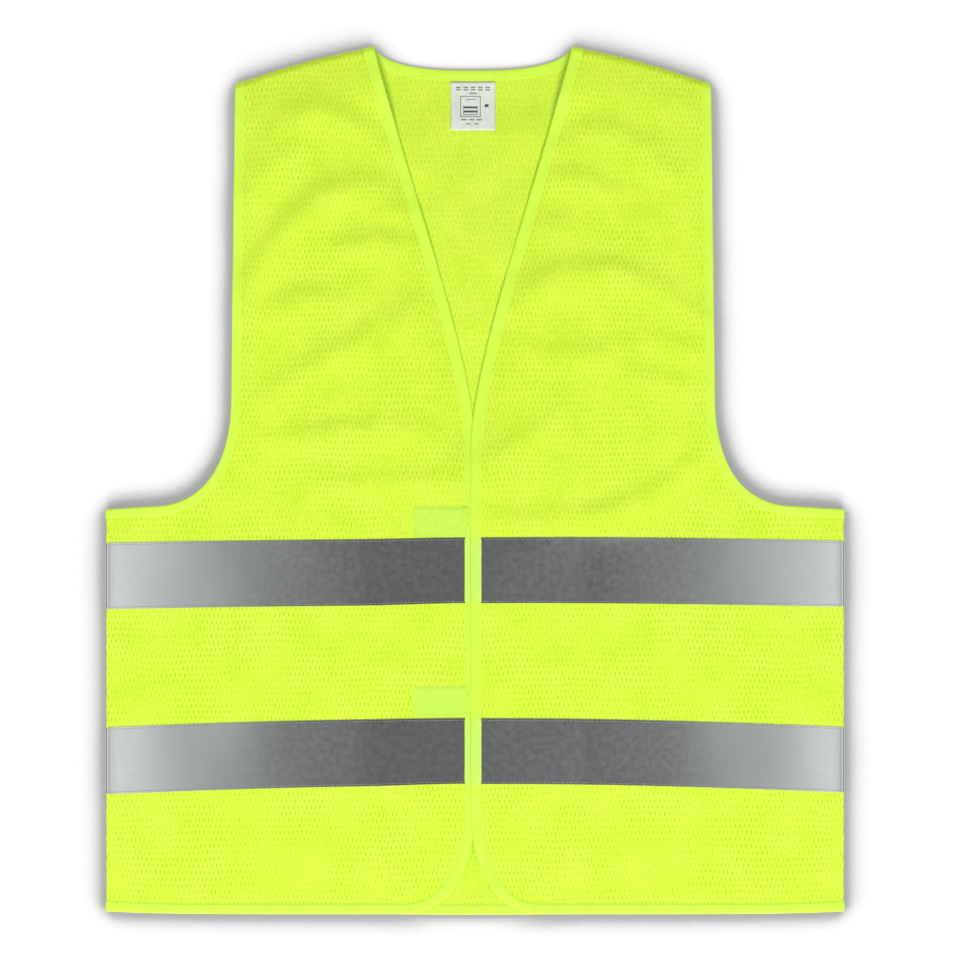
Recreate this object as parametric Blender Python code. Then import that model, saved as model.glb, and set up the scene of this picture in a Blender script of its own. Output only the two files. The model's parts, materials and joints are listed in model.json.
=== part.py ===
"""High visibility vest, laid flat with its front up.

+X points to the wearer's left, +Y to the neck and +Z up out of the front.
The origin is the middle of the vest's footprint, on the surface it lies on.

The vest is a back panel and two front panels of mesh cloth, sewn together at
the sides and the shoulders. Folded tape binds every raw edge, two reflective
bands run round the body, and hook-and-loop patches close the front. Each
front panel is cut along the line where it folds open, so its inner half is a
flap on a hinge. The label hangs from its top edge in the back of the neck.
"""

from math import cos, radians, sin

import bmesh
import bpy
from mathutils import Matrix, Vector

MM = 0.001

# Driving dimensions: the whole vest
BODY_WIDTH = 562.6 * MM
BODY_LENGTH = 662.6 * MM
CLEARANCE = 0.3 * MM  # between pieces that touch

# Driving dimensions: cloth
CLOTH = 0.6 * MM
LAYER_SPACE = 7.5 * MM  # between the middles of the back and the front cloth
ROLL_STEPS = 3

# Driving dimensions: outline of one half
NECK_X = 76.0 * MM
SHOULDER_BEND = Vector((139.0, 316.8)) * MM
SHOULDER_TIP = Vector((181.0, 303.0)) * MM
BACK_NECK_Y = 313.8 * MM
UNDERARM_Y = -22.5 * MM
ARMHOLE_TURN = Vector((184.5, 60.0)) * MM
ARMHOLE_TURN_HANDLE = Vector((185.5, 15.0)) * MM
ARMHOLE_FLOOR = Vector((236.0, -19.5)) * MM
ARMHOLE_FLOOR_HANDLE = Vector((203.0, -15.0)) * MM
BACK_NECK_TOP = Vector((73.2, 327.6)) * MM
BACK_NECK_TOP_HANDLE = Vector((61.0, 317.5)) * MM
BACK_NECK_HANDLE_X = 40.0 * MM
FRONT_OVERLAP = 4.0 * MM
V_TOP = Vector((74.9, 327.1)) * MM
V_TOP_HANDLE = Vector((44.0, 210.0)) * MM
V_END_HANDLE_Y = 90.0 * MM
V_END_Y = 20.0 * MM
CORNER_WIDTH = 60.0 * MM  # the rounded lower corners of the front
CORNER_HEIGHT = 91.3 * MM

# How finely curved outlines are drawn
ARMHOLE_STEPS = 10
V_STEPS = 10
CORNER_STEPS = 8
BACK_NECK_STEPS = 7

# Driving dimensions: binding
BINDING_WIDTH = 8.4 * MM
ARMHOLE_BINDING_WIDTH = 7.0 * MM
BINDING_CLOTH = 0.5 * MM

# Driving dimensions: reflective bands
BAND_HEIGHT = 50.0 * MM
BAND_THICKNESS = 0.5 * MM
UPPER_BAND_TOP = -43.9 * MM
LOWER_BAND_TOP = -181.7 * MM
UPPER_BAND_DROP = 3.1 * MM  # how far a band falls from the middle to the side
LOWER_BAND_DROP = 6.9 * MM
BAND_PANELS = 7

# Driving dimensions: closure and label
PATCH_WIDTH = 39.0 * MM
PATCH_HEIGHT = 23.5 * MM
PATCH_THICKNESS = 0.5 * MM
CORNER_CLIP = 0.06  # share of a patch's shorter side
HOOK_PATCH_X = 28.3 * MM
UPPER_PATCH_Y = -31.9 * MM
LOWER_PATCH_Y = -168.9 * MM
LABEL_WIDTH = 34.0 * MM
LABEL_LENGTH = 37.5 * MM
LABEL_THICKNESS = 0.4 * MM

# Driving dimensions: hinges
FOLD_X = 70.0 * MM
FOLD_TOP_Y = 270.0 * MM  # above this the front is held by the shoulder seam
FOLD_RISE = 3.0 * MM  # the fold's axis above the front cloth
LABEL_FOLD_RISE = 0.5 * MM
HINGE_MARK = 20.0 * MM  # size an empty is drawn at

# Tolerances of the mesh tools
ON_PLANE = 1e-7
SAME_POINT = 1e-6

# Levels
BINDING_HALF = CLOTH / 2 + CLEARANCE + BINDING_CLOTH
BACK_Z = BINDING_HALF
FRONT_Z = BACK_Z + LAYER_SPACE
ROLL_RADIUS = (LAYER_SPACE - CLEARANCE) / 2
EDGE_INSET = BINDING_CLOTH + CLEARANCE
SEAM_SETBACK = ROLL_RADIUS + CLOTH / 2

# Middles of the seams
BAND_OFFSET = CLOTH / 2 + CLEARANCE + BAND_THICKNESS / 2
SIDE_SEAM_X = BODY_WIDTH / 2 - BAND_OFFSET - BAND_THICKNESS / 2
TOP_Y = BODY_LENGTH / 2
HEM_Y = -BODY_LENGTH / 2

# The front that lies on top is lifted clear of the other one's binding
FLAP_LIFT = 2 * BINDING_HALF + CLEARANCE
FLAP_REACH = FOLD_X - FRONT_OVERLAP / 2
FLAP_TILT = FLAP_LIFT / FLAP_REACH

SIDES = (("left", 1), ("right", -1))
BANDS = (
    ("upper", UPPER_BAND_TOP, UPPER_BAND_DROP),
    ("lower", LOWER_BAND_TOP, LOWER_BAND_DROP),
)

LIME = (0.68, 0.93, 0.06, 1)
LIME_BINDING = (0.70, 0.95, 0.08, 1)
LIME_LOOP = (0.63, 0.90, 0.10, 1)
SILVER = (0.42, 0.45, 0.44, 1)
WHITE = (0.80, 0.83, 0.75, 1)


def clear_scene():
    for item in list(bpy.data.objects):
        bpy.data.objects.remove(item, do_unlink=True)


def material(name, colour, roughness, metallic=0.0):
    """A Principled material."""
    made = bpy.data.materials.new(name)
    made.use_nodes = True
    shader = made.node_tree.nodes["Principled BSDF"]
    shader.inputs["Base Color"].default_value = colour
    shader.inputs["Roughness"].default_value = roughness
    shader.inputs["Metallic"].default_value = metallic
    return made


def bezier(start, handle_1, handle_2, end, steps):
    """Points on a cubic curve, both ends included."""
    points = []
    for step in range(steps + 1):
        t = step / steps
        s = 1 - t
        points.append(
            start * s**3 + handle_1 * 3 * s * s * t + handle_2 * 3 * s * t * t + end * t**3
        )
    return points


def inset(points, distance):
    """An open line moved to its left by a distance, with mitred bends."""
    normals = []
    for here, there in zip(points, points[1:]):
        along = (there - here).normalized()
        normals.append(Vector((-along.y, along.x)))
    moved = []
    for number, point in enumerate(points):
        before = normals[max(number - 1, 0)]
        after = normals[min(number, len(normals) - 1)]
        moved.append(point + (before + after) * (distance / (1 + before.dot(after))))
    return moved


def mirrored(points):
    """The same line on the other half of the vest, run the other way."""
    return [Vector((-point.x, point.y)) for point in reversed(points)]


# Lines of the wearer's left half. Each runs anticlockwise round its panel, so
# the cloth is on its left.


def shoulder_line():
    """The shoulder seam, from the armhole to the neck."""
    neck = Vector((NECK_X, TOP_Y))
    return [SHOULDER_TIP, SHOULDER_BEND, neck]


def armhole_line():
    """The armhole, from the underarm to the shoulder."""
    underarm = Vector((SIDE_SEAM_X - SEAM_SETBACK, UNDERARM_Y))
    curve = bezier(
        ARMHOLE_FLOOR,
        ARMHOLE_FLOOR_HANDLE,
        ARMHOLE_TURN_HANDLE,
        ARMHOLE_TURN,
        ARMHOLE_STEPS,
    )
    top = SHOULDER_TIP - Vector((0, SEAM_SETBACK))
    return [underarm] + curve + [top]


def v_line():
    """The V of the neck and the front edge, from the shoulder to the hem."""
    front_x = -FRONT_OVERLAP / 2
    neck = bezier(
        V_TOP,
        V_TOP_HANDLE,
        Vector((front_x, V_END_HANDLE_Y)),
        Vector((front_x, V_END_Y)),
        V_STEPS,
    )
    corner = []
    for step in range(CORNER_STEPS + 1):
        angle = radians(90 * step / CORNER_STEPS)
        x = front_x + CORNER_WIDTH * (1 - cos(angle))
        y = HEM_Y + CORNER_HEIGHT * (1 - sin(angle))
        corner.append(Vector((x, y)))
    return neck + corner


def hem_end():
    return Vector((SIDE_SEAM_X - SEAM_SETBACK, HEM_Y))


def back_neck_line():
    """The back of the neck, from the left shoulder to the right one."""
    left_half = bezier(
        BACK_NECK_TOP,
        BACK_NECK_TOP_HANDLE,
        Vector((BACK_NECK_HANDLE_X, BACK_NECK_Y)),
        Vector((0, BACK_NECK_Y)),
        BACK_NECK_STEPS,
    )
    return left_half + mirrored(left_half)[1:]


def side_line():
    """Where the cloth starts to roll over at the side, from hem to underarm."""
    x = SIDE_SEAM_X - ROLL_RADIUS
    return [Vector((x, HEM_Y + EDGE_INSET)), Vector((x, UNDERARM_Y - EDGE_INSET))]


def shoulder_roll_line():
    """Where the cloth starts to roll over at the shoulder."""
    return inset(shoulder_line(), SEAM_SETBACK)


def new_object(name, bm, look, hinge=None):
    """An object from a mesh built in place; a hinge's pieces hang on it."""
    mesh = bpy.data.meshes.new(name)
    if hinge:
        bmesh.ops.translate(bm, vec=-hinge.location, verts=bm.verts)
    bm.to_mesh(mesh)
    bm.free()
    mesh.materials.append(look)
    made = bpy.data.objects.new(name, mesh)
    made.parent = hinge
    bpy.context.collection.objects.link(made)
    return made


def new_hinge(name, place):
    """An empty on a hinge's axis."""
    made = bpy.data.objects.new(name, None)
    made.location = place
    made.empty_display_size = HINGE_MARK
    bpy.context.collection.objects.link(made)
    return made


def thicken(piece, thickness):
    """Gives a sheet its thickness, half on each side."""
    shell = piece.modifiers.new("thickness", "SOLIDIFY")
    shell.thickness = thickness
    shell.offset = 0
    shell.use_even_offset = True


def cut(bm, point, normal, fill):
    """Cuts off what lies on the normal's side of a plane."""
    result = bmesh.ops.bisect_plane(
        bm,
        geom=bm.verts[:] + bm.edges[:] + bm.faces[:],
        dist=ON_PLANE,
        plane_co=point,
        plane_no=normal,
        clear_outer=True,
    )
    if fill:
        rim = [item for item in result["geom_cut"] if isinstance(item, bmesh.types.BMEdge)]
        bmesh.ops.triangle_fill(bm, edges=rim, use_beauty=True)
        bmesh.ops.recalc_face_normals(bm, faces=bm.faces)


def keep_flap(bm, side, fill=False):
    """Keeps the flap: between the fold line and the middle, below the fold's top."""
    cut(bm, (side * (FOLD_X - CLEARANCE / 2), 0, 0), (side, 0, 0), fill)
    cut(bm, (0, FOLD_TOP_Y - CLEARANCE / 2, 0), (0, 1, 0), fill)


def keep_rest(sheet, side):
    """Keeps what the flap leaves of a sheet."""
    edge = FOLD_X + CLEARANCE / 2
    top = FOLD_TOP_Y + CLEARANCE / 2
    for point, normal in (((side * edge, 0, 0), (1, 0, 0)), ((0, top, 0), (0, 1, 0))):
        everything = sheet.verts[:] + sheet.edges[:] + sheet.faces[:]
        bmesh.ops.bisect_plane(
            sheet, geom=everything, dist=ON_PLANE, plane_co=point, plane_no=normal
        )
    flap = []
    for face in sheet.faces:
        middle = face.calc_center_median()
        if side * middle.x < edge and middle.y < top:
            flap.append(face)
    bmesh.ops.delete(sheet, geom=flap, context="FACES")


def lift_flap(bm):
    """Tilts the front that lies on top, about its fold line."""
    turn = Matrix.Rotation(FLAP_TILT, 3, "Y")
    bmesh.ops.rotate(bm, cent=(FOLD_X, 0, FRONT_Z), matrix=turn, verts=bm.verts)


def to_side(bm, side):
    """Turns a piece of the left half into one of the right half if asked."""
    if side < 0:
        bmesh.ops.scale(bm, vec=(-1, 1, 1), verts=bm.verts)
        bmesh.ops.reverse_faces(bm, faces=bm.faces)


def cloth_sheet(stretches, level, roll):
    """A sheet with a flat middle, rolled over by a quarter turn at its seams.

    stretches holds the outline as (points, is_seam) pairs, anticlockwise.
    """
    bm = bmesh.new()
    outline = []
    for points, is_seam in stretches:
        flat = [bm.verts.new((point.x, point.y, level)) for point in points]
        outline += flat
        if not is_seam:
            continue
        last_row = flat
        for step in range(1, ROLL_STEPS + 1):
            angle = radians(90 * step / ROLL_STEPS)
            out = inset(points, -ROLL_RADIUS * sin(angle))
            z = level + roll * ROLL_RADIUS * (1 - cos(angle))
            row = [bm.verts.new((point.x, point.y, z)) for point in out]
            for n in range(len(row) - 1):
                bm.faces.new((last_row[n], row[n], row[n + 1], last_row[n + 1]))
            last_row = row
    bm.faces.new(outline)
    bmesh.ops.recalc_face_normals(bm, faces=bm.faces)
    return bm


def front_sheet(side):
    """One front panel, whole, as a sheet."""
    front_edge = inset(v_line(), EDGE_INSET)
    hem = [Vector((hem_end().x, HEM_Y + EDGE_INSET))]
    stretches = [
        (front_edge + hem, False),
        (side_line(), True),
        (inset(armhole_line(), EDGE_INSET), False),
        (shoulder_roll_line(), True),
    ]
    bm = cloth_sheet(stretches, FRONT_Z, -1)
    to_side(bm, side)
    return bm


def back_sheet():
    """The back panel as a sheet."""
    armhole = inset(armhole_line(), EDGE_INSET)
    stretches = [
        (side_line(), True),
        (armhole, False),
        (shoulder_roll_line(), True),
        (inset(back_neck_line(), EDGE_INSET), False),
        (mirrored(shoulder_roll_line()), True),
        (mirrored(armhole), False),
        (mirrored(side_line()), True),
    ]
    return cloth_sheet(stretches, BACK_Z, 1)


def binding_solid(path, width, level):
    """Tape folded over an edge: a U section carried along the edge."""
    inner_half = BINDING_HALF - BINDING_CLOTH
    section = [
        (0, -BINDING_HALF),
        (width, -BINDING_HALF),
        (width, -inner_half),
        (BINDING_CLOTH, -inner_half),
        (BINDING_CLOTH, inner_half),
        (width, inner_half),
        (width, BINDING_HALF),
        (0, BINDING_HALF),
    ]
    bm = bmesh.new()
    lines = []
    for depth, height in section:
        line = [bm.verts.new((p.x, p.y, level + height)) for p in inset(path, depth)]
        lines.append(line)
    sides = len(section)
    for number in range(sides):
        this = lines[number]
        following = lines[(number + 1) % sides]
        for n in range(len(path) - 1):
            bm.faces.new((this[n], this[n + 1], following[n + 1], following[n]))
    bm.faces.new([line[0] for line in lines])
    bm.faces.new([line[-1] for line in reversed(lines)])
    bmesh.ops.recalc_face_normals(bm, faces=bm.faces)
    return bm


def front_binding_solid(side):
    """The binding of one front, from the shoulder round to the side seam."""
    end = hem_end() - Vector((CLEARANCE, 0))
    bm = binding_solid(v_line() + [end], BINDING_WIDTH, FRONT_Z)
    to_side(bm, side)
    return bm


def band_sheet(side, top, drop, level, roll, start):
    """Half a reflective band as a sheet, from x = start to its side seam."""
    arc_x = SIDE_SEAM_X - ROLL_RADIUS
    arc_radius = ROLL_RADIUS + BAND_OFFSET
    profile = []
    for step in range(BAND_PANELS + 1):
        x = start + (arc_x - start) * step / BAND_PANELS
        profile.append((x, level - roll * BAND_OFFSET))
    for step in range(1, ROLL_STEPS + 1):
        angle = radians(90 * step / ROLL_STEPS)
        x = arc_x + arc_radius * sin(angle)
        rise = ROLL_RADIUS - arc_radius * cos(angle)
        profile.append((x, level + roll * rise))
    bm = bmesh.new()
    rows = []
    for x, z in profile:
        y = top - drop * (x / SIDE_SEAM_X) ** 2
        upper = bm.verts.new((x, y, z))
        lower = bm.verts.new((x, y - BAND_HEIGHT, z))
        rows.append((upper, lower))
    for here, there in zip(rows, rows[1:]):
        bm.faces.new((here[0], here[1], there[1], there[0]))
    to_side(bm, side)
    return bm


def plate(width, height, thickness, centre):
    """A small flat rectangle with clipped corners."""
    clip = min(width, height) * CORNER_CLIP
    x = width / 2
    y = height / 2
    half = [(x - clip, -y), (x, clip - y), (x, y - clip), (x - clip, y)]
    corners = half + [(-px, -py) for px, py in half]
    bm = bmesh.new()
    low = centre.z - thickness / 2
    face = bm.faces.new(
        [bm.verts.new((centre.x + px, centre.y + py, low)) for px, py in corners]
    )
    grown = bmesh.ops.extrude_face_region(bm, geom=[face])
    top = [item for item in grown["geom"] if isinstance(item, bmesh.types.BMVert)]
    bmesh.ops.translate(bm, vec=(0, 0, thickness), verts=top)
    bmesh.ops.recalc_face_normals(bm, faces=bm.faces)
    return bm


def build_back(cloth, tape, silver):
    """The back panel with its bindings and bands."""
    thicken(new_object("back_panel", back_sheet(), cloth), CLOTH)
    neck = binding_solid(back_neck_line(), BINDING_WIDTH, BACK_Z)
    new_object("back_neck_binding", neck, tape)
    end = hem_end() - Vector((CLEARANCE, 0))
    hem = binding_solid([Vector((-end.x, end.y)), end], BINDING_WIDTH, BACK_Z)
    new_object("back_hem_binding", hem, tape)
    for name, top, drop in BANDS:
        half = band_sheet(1, top, drop, BACK_Z, 1, 0)
        other = band_sheet(-1, top, drop, BACK_Z, 1, 0)
        spare = bpy.data.meshes.new("half_band")
        other.to_mesh(spare)
        other.free()
        half.from_mesh(spare)
        bpy.data.meshes.remove(spare)
        bmesh.ops.remove_doubles(half, verts=half.verts, dist=SAME_POINT)
        thicken(new_object(f"{name}_band_back", half, silver), BAND_THICKNESS)


def build_armholes(tape):
    """The binding of each armhole, as its front half and its back half."""
    path = armhole_line()
    path[0] -= Vector((CLEARANCE, 0))
    path[-1] -= Vector((0, CLEARANCE))
    for side_name, side in SIDES:
        for layer, level in (("front", FRONT_Z), ("back", BACK_Z)):
            solid = binding_solid(path, ARMHOLE_BINDING_WIDTH, level)
            to_side(solid, side)
            new_object(f"{side_name}_armhole_binding_{layer}", solid, tape)


def build_front(side_name, side, hinge, cloth, tape, silver):
    """One front panel: its outer half on the back, its flap on the hinge."""
    lifted = side > 0
    band_start = BINDING_WIDTH - FRONT_OVERLAP / 2 + CLEARANCE

    rest = front_sheet(side)
    keep_rest(rest, side)
    thicken(new_object(f"{side_name}_front_panel_side", rest, cloth), CLOTH)
    flap = front_sheet(side)
    keep_flap(flap, side)
    if lifted:
        lift_flap(flap)
    thicken(new_object(f"{side_name}_front_panel_flap", flap, cloth, hinge), CLOTH)

    neck = front_binding_solid(side)
    cut(neck, (0, FOLD_TOP_Y + CLEARANCE / 2, 0), (0, -1, 0), True)
    new_object(f"{side_name}_front_neck_binding", neck, tape)
    hem = front_binding_solid(side)
    cut(hem, (side * (FOLD_X + CLEARANCE / 2), 0, 0), (-side, 0, 0), True)
    cut(hem, (0, 0, 0), (0, 1, 0), True)
    new_object(f"{side_name}_front_hem_binding", hem, tape)
    edge = front_binding_solid(side)
    keep_flap(edge, side, fill=True)
    if lifted:
        lift_flap(edge)
    new_object(f"{side_name}_front_edge_binding", edge, tape, hinge)

    for name, top, drop in BANDS:
        rest = band_sheet(side, top, drop, FRONT_Z, -1, band_start)
        keep_rest(rest, side)
        thicken(new_object(f"{name}_band_{side_name}_side", rest, silver), BAND_THICKNESS)
        flap = band_sheet(side, top, drop, FRONT_Z, -1, band_start)
        keep_flap(flap, side)
        if lifted:
            lift_flap(flap)
        piece = new_object(f"{name}_band_{side_name}_flap", flap, silver, hinge)
        thicken(piece, BAND_THICKNESS)


def build_closure(hooks_hinge, loops_hinge, hook, loop):
    """Loop patches on the right front, hook patches under the left one."""
    offset = CLOTH / 2 + CLEARANCE + PATCH_THICKNESS / 2
    binding_reach = BINDING_WIDTH - FRONT_OVERLAP / 2
    loop_x = -(binding_reach + CLEARANCE + PATCH_WIDTH / 2)
    for name, y in (("upper", UPPER_PATCH_Y), ("lower", LOWER_PATCH_Y)):
        centre = Vector((loop_x, y, FRONT_Z + offset))
        solid = plate(PATCH_WIDTH, PATCH_HEIGHT, PATCH_THICKNESS, centre)
        new_object(f"{name}_loop_patch", solid, loop, loops_hinge)
        centre = Vector((HOOK_PATCH_X, y, FRONT_Z - offset))
        solid = plate(PATCH_WIDTH, PATCH_HEIGHT, PATCH_THICKNESS, centre)
        lift_flap(solid)
        new_object(f"{name}_hook_patch", solid, hook, hooks_hinge)


def build_label(look):
    """The label, sewn along its top edge below the neck binding."""
    top = BACK_NECK_Y - BINDING_WIDTH - 2 * CLEARANCE
    z = BACK_Z + CLOTH / 2 + CLEARANCE + LABEL_THICKNESS / 2
    hinge_z = z + LABEL_THICKNESS / 2 + LABEL_FOLD_RISE
    hinge = new_hinge("label_fold", (0, top + CLEARANCE, hinge_z))
    centre = Vector((0, top - LABEL_LENGTH / 2, z))
    solid = plate(LABEL_WIDTH, LABEL_LENGTH, LABEL_THICKNESS, centre)
    new_object("neck_label", solid, look, hinge)


def main():
    clear_scene()
    cloth = material("mesh_cloth", LIME, 0.8)
    tape = material("binding_tape", LIME_BINDING, 0.75)
    silver = material("reflective_tape", SILVER, 0.35, 0.4)
    loop = material("loop_pile", LIME_LOOP, 0.9)
    hook = material("hook_tape", LIME_LOOP, 0.6)
    paper = material("label_cloth", WHITE, 0.7)

    build_back(cloth, tape, silver)
    build_armholes(tape)
    hinges = {}
    for side_name, side in SIDES:
        place = (side * FOLD_X, 0, FRONT_Z + FOLD_RISE)
        hinges[side_name] = new_hinge(f"{side_name}_front_fold", place)
        build_front(side_name, side, hinges[side_name], cloth, tape, silver)
    build_closure(hinges["left"], hinges["right"], hook, loop)
    build_label(paper)


main()
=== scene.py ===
"""Looks of the high visibility vest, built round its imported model.

The vest lies flat with its front up. Every piece is first drawn on the flat
pattern of one half of the vest and is then laid: the cloth stays at its
layer's level, with its wrinkles, and rolls over at the side and shoulder
seams. Pattern lengths are in metres, x away from the middle.
"""

import json
import math

import bmesh
import bpy
import numpy as np
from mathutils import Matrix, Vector
from mathutils.geometry import delaunay_2d_cdt
from mathutils.kdtree import KDTree


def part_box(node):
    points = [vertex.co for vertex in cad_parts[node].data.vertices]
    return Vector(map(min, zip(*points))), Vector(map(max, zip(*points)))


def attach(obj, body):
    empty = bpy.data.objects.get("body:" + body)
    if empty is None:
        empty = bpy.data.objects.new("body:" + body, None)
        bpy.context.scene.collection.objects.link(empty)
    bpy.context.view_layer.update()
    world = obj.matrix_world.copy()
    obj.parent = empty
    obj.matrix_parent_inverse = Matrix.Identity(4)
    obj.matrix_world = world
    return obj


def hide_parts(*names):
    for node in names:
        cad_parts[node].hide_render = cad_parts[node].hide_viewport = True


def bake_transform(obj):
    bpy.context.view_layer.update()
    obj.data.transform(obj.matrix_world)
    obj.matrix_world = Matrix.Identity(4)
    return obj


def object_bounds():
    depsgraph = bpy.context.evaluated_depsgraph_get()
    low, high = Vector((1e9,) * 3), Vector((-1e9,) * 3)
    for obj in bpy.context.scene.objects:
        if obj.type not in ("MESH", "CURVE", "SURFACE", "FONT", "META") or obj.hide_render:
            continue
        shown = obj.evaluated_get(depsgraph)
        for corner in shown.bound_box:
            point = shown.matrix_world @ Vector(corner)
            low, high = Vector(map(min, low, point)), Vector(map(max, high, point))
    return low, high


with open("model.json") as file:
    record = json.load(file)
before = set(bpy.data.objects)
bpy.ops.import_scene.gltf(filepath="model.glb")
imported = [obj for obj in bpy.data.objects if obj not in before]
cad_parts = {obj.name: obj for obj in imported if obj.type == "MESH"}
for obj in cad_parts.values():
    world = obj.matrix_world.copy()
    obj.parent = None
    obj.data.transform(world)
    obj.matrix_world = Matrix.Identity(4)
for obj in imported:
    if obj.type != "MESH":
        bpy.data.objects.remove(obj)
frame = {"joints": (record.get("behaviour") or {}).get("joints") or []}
CAD_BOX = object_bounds()

MM = 0.001
BODY = "vest_body"
FLAPS = {1: "left_front_flap", -1: "right_front_flap"}
SIDE_NAMES = {1: "left", -1: "right"}
FRONT = 1
BACK = -1
BANDS = ("upper", "lower")

# From the frame, whose cloth is 0.6 mm thick
CLOTH_CAD = 0.6 * MM
FRONT_Z = sum(corner[2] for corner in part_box("right_front_panel_flap")) / 2
BACK_Z = sum(corner[2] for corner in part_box("back_neck_binding")) / 2
SEAM_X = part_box("back_panel")[1][0] - CLOTH_CAD / 2
HEM_Y = CAD_BOX[0][1]
JOINTS = {joint["name"]: joint for joint in frame["joints"]}
FOLD_X = abs(JOINTS["left_front_fold"]["pos_m"][0])
FOLD_Z = JOINTS["left_front_fold"]["pos_m"][2]

# How the cloth rolls over at the seams
ROLL = (FRONT_Z - BACK_Z) / 2 - 0.15 * MM
ROLL_LENGTH = ROLL * math.pi / 2
ARC_X = SEAM_X - ROLL
END_X = ARC_X + ROLL_LENGTH
BEND = 1.2 * MM  # radius of the bend at each end of the side's upright part

# Outline of one half
OVERLAP = 4.0 * MM
FRONT_X = -OVERLAP / 2
CORNER_WIDTH = 60.0 * MM
CORNER_HEIGHT = 91.3 * MM
CORNER_POWER = 0.8  # makes the fronts' lower corners squarer than an ellipse
SHOULDER = np.array([(181.0, 303.0), (139.0, 316.8), (76.0, 331.3)]) * MM
SEAM_SETBACK = ROLL + CLOTH_CAD / 2
UNDERARM_Y = -22.5 * MM
ARMHOLE = np.array([(236.0, -19.5), (203.0, -15.0), (185.5, 15.0), (184.5, 60.0)]) * MM
NECK = np.array([(73.2, 327.6), (61.0, 317.5), (40.0, 313.8), (0, 313.8)]) * MM
V_TOP = np.array((74.9, 327.1)) * MM
V_HANDLES = np.array([(44.0 * MM, 210.0 * MM), (FRONT_X, 90.0 * MM), (FRONT_X, 20.0 * MM)])
FULLER = 3.0 * MM  # how much wider the wearer's left half is towards its side
LINE_STEP = 3 * MM  # between points of an edge

# How the two layers lie
FLAP_LIFT = 1.25 * MM  # of the left front, which lies on the right one
FLAP_SINK = 0.9 * MM  # of the right one
FRONT_PUFF = 1.6 * MM  # how far the fronts stand up away from their sides
NECK_DROOP = 4.2 * MM  # how far the V's edges sink towards the back
NECK_PUFF = 2.8 * MM  # how far the back stands up between them
HEM_LIFT = 4.0 * MM  # how far the back hem stands up where the fronts leave it bare
RESTING = 1.2 * MM  # between the middles of a front and the back that it lies on
CONTACT = 0.25 * MM  # how softly a front comes to rest there

# Thicknesses, widths and how far above its cloth's middle a piece lies
CLOTH = 0.42 * MM
CLOTH_TOP = 0.26 * MM
EDGE_INSET = 0.8 * MM
BAND_HEIGHT = 50 * MM
TAPE = 0.30 * MM
TAPE_LIFT = 0.27 * MM
BINDING_WIDTH = 8.4 * MM
ARMHOLE_BINDING_WIDTH = 7.0 * MM
BINDING_TOP_LIFT = 0.80 * MM
PATCH = 0.5 * MM
STITCH = 2.7 * MM
STITCH_GAP = 0.6 * MM
STITCH_MARGIN = 1.5 * MM
THREAD = 0.2 * MM

STEP = 4.0 * MM
FOLD_STEP = 1.2 * MM  # between points where a front folds open
FOLD_ZONE = 7.0 * MM
ROLL_STEP = 0.8 * MM  # and where it rolls over at the side


# ---------------------------------------------------------------- lines


def bezier(points, steps):
    """Points on a cubic curve, both ends included."""
    a, b, c, d = (np.array(point, float) for point in points)
    t = np.linspace(0, 1, steps + 1)[:, None]
    s = 1 - t
    return a * s**3 + 3 * b * s * s * t + 3 * c * s * t * t + d * t**3


def lengths(line):
    """How far along a line each of its points is."""
    return np.concatenate([[0], np.cumsum(np.linalg.norm(np.diff(line, axis=0), axis=1))])


def at_lengths(values, along, at):
    """The values of a line's points, read at some lengths along it."""
    return np.stack([np.interp(at, along, values[:, k]) for k in (0, 1)], 1)


def resampled(line, step):
    """The line with points a step apart, and closer where the cloth bends."""
    along = lengths(line)
    fine = np.linspace(0, along[-1], max(int(along[-1] / (0.3 * MM)), 2))
    across = np.abs(np.interp(fine, along, line[:, 0]))
    local = np.where(np.abs(across - FOLD_X) < FOLD_ZONE, min(step, FOLD_STEP), step)
    local = np.where(across > ARC_X, min(step, ROLL_STEP), local)
    share = np.concatenate([[0], np.cumsum(np.diff(fine) / local[1:])])
    count = max(int(round(share[-1])), 1)
    at = np.interp(np.linspace(0, share[-1], count + 1), share, fine)
    return at_lengths(line, along, at)


def straight(x1, y1, x2, y2, step=LINE_STEP):
    return resampled(np.array([(x1, y1), (x2, y2)]), step)


def inward(line):
    """The unit normal on the left of a line, at each of its points."""
    run = np.gradient(line, axis=0)
    run /= np.linalg.norm(run, axis=1)[:, None]
    return np.stack([-run[:, 1], run[:, 0]], 1)


def inset(line, distance):
    return line + inward(line) * distance


def mirrored(line):
    return line[::-1] * (-1, 1)


def both_halves(line):
    """A line from the middle out, with its mirror image before it."""
    return np.concatenate([mirrored(line), line[1:]])


def smoothstep(value, low, high):
    t = np.clip((value - low) / (high - low), 0, 1)
    return t * t * (3 - 2 * t)


# Lines of one half's pattern, anticlockwise, with the cloth on their left

SHOULDER_FIT = np.polyfit(SHOULDER[:, 0], SHOULDER[:, 1], 2)
V_LINE = bezier([V_TOP, *V_HANDLES], 40)[::-1]


def shoulder_normal(x):
    slope = np.polyval(np.polyder(SHOULDER_FIT), x)
    scale = 1 / np.sqrt(1 + slope * slope)
    return np.stack([-slope * scale, scale], -1)


def shoulder_line():
    """The shoulder seam on the pattern, from the armhole to the neck."""
    x = np.linspace(SHOULDER[0, 0], SHOULDER[-1, 0], 13)
    line = np.stack([x, np.polyval(SHOULDER_FIT, x)], 1)
    return line + shoulder_normal(x) * (ROLL_LENGTH - SEAM_SETBACK)


def armhole_line():
    """The armhole on the pattern, from the underarm seam to the shoulder's."""
    start = np.array([(END_X, UNDERARM_Y)])
    line = np.concatenate([start, bezier(ARMHOLE, 24), shoulder_line()[:1]])
    return resampled(line, LINE_STEP)


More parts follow.
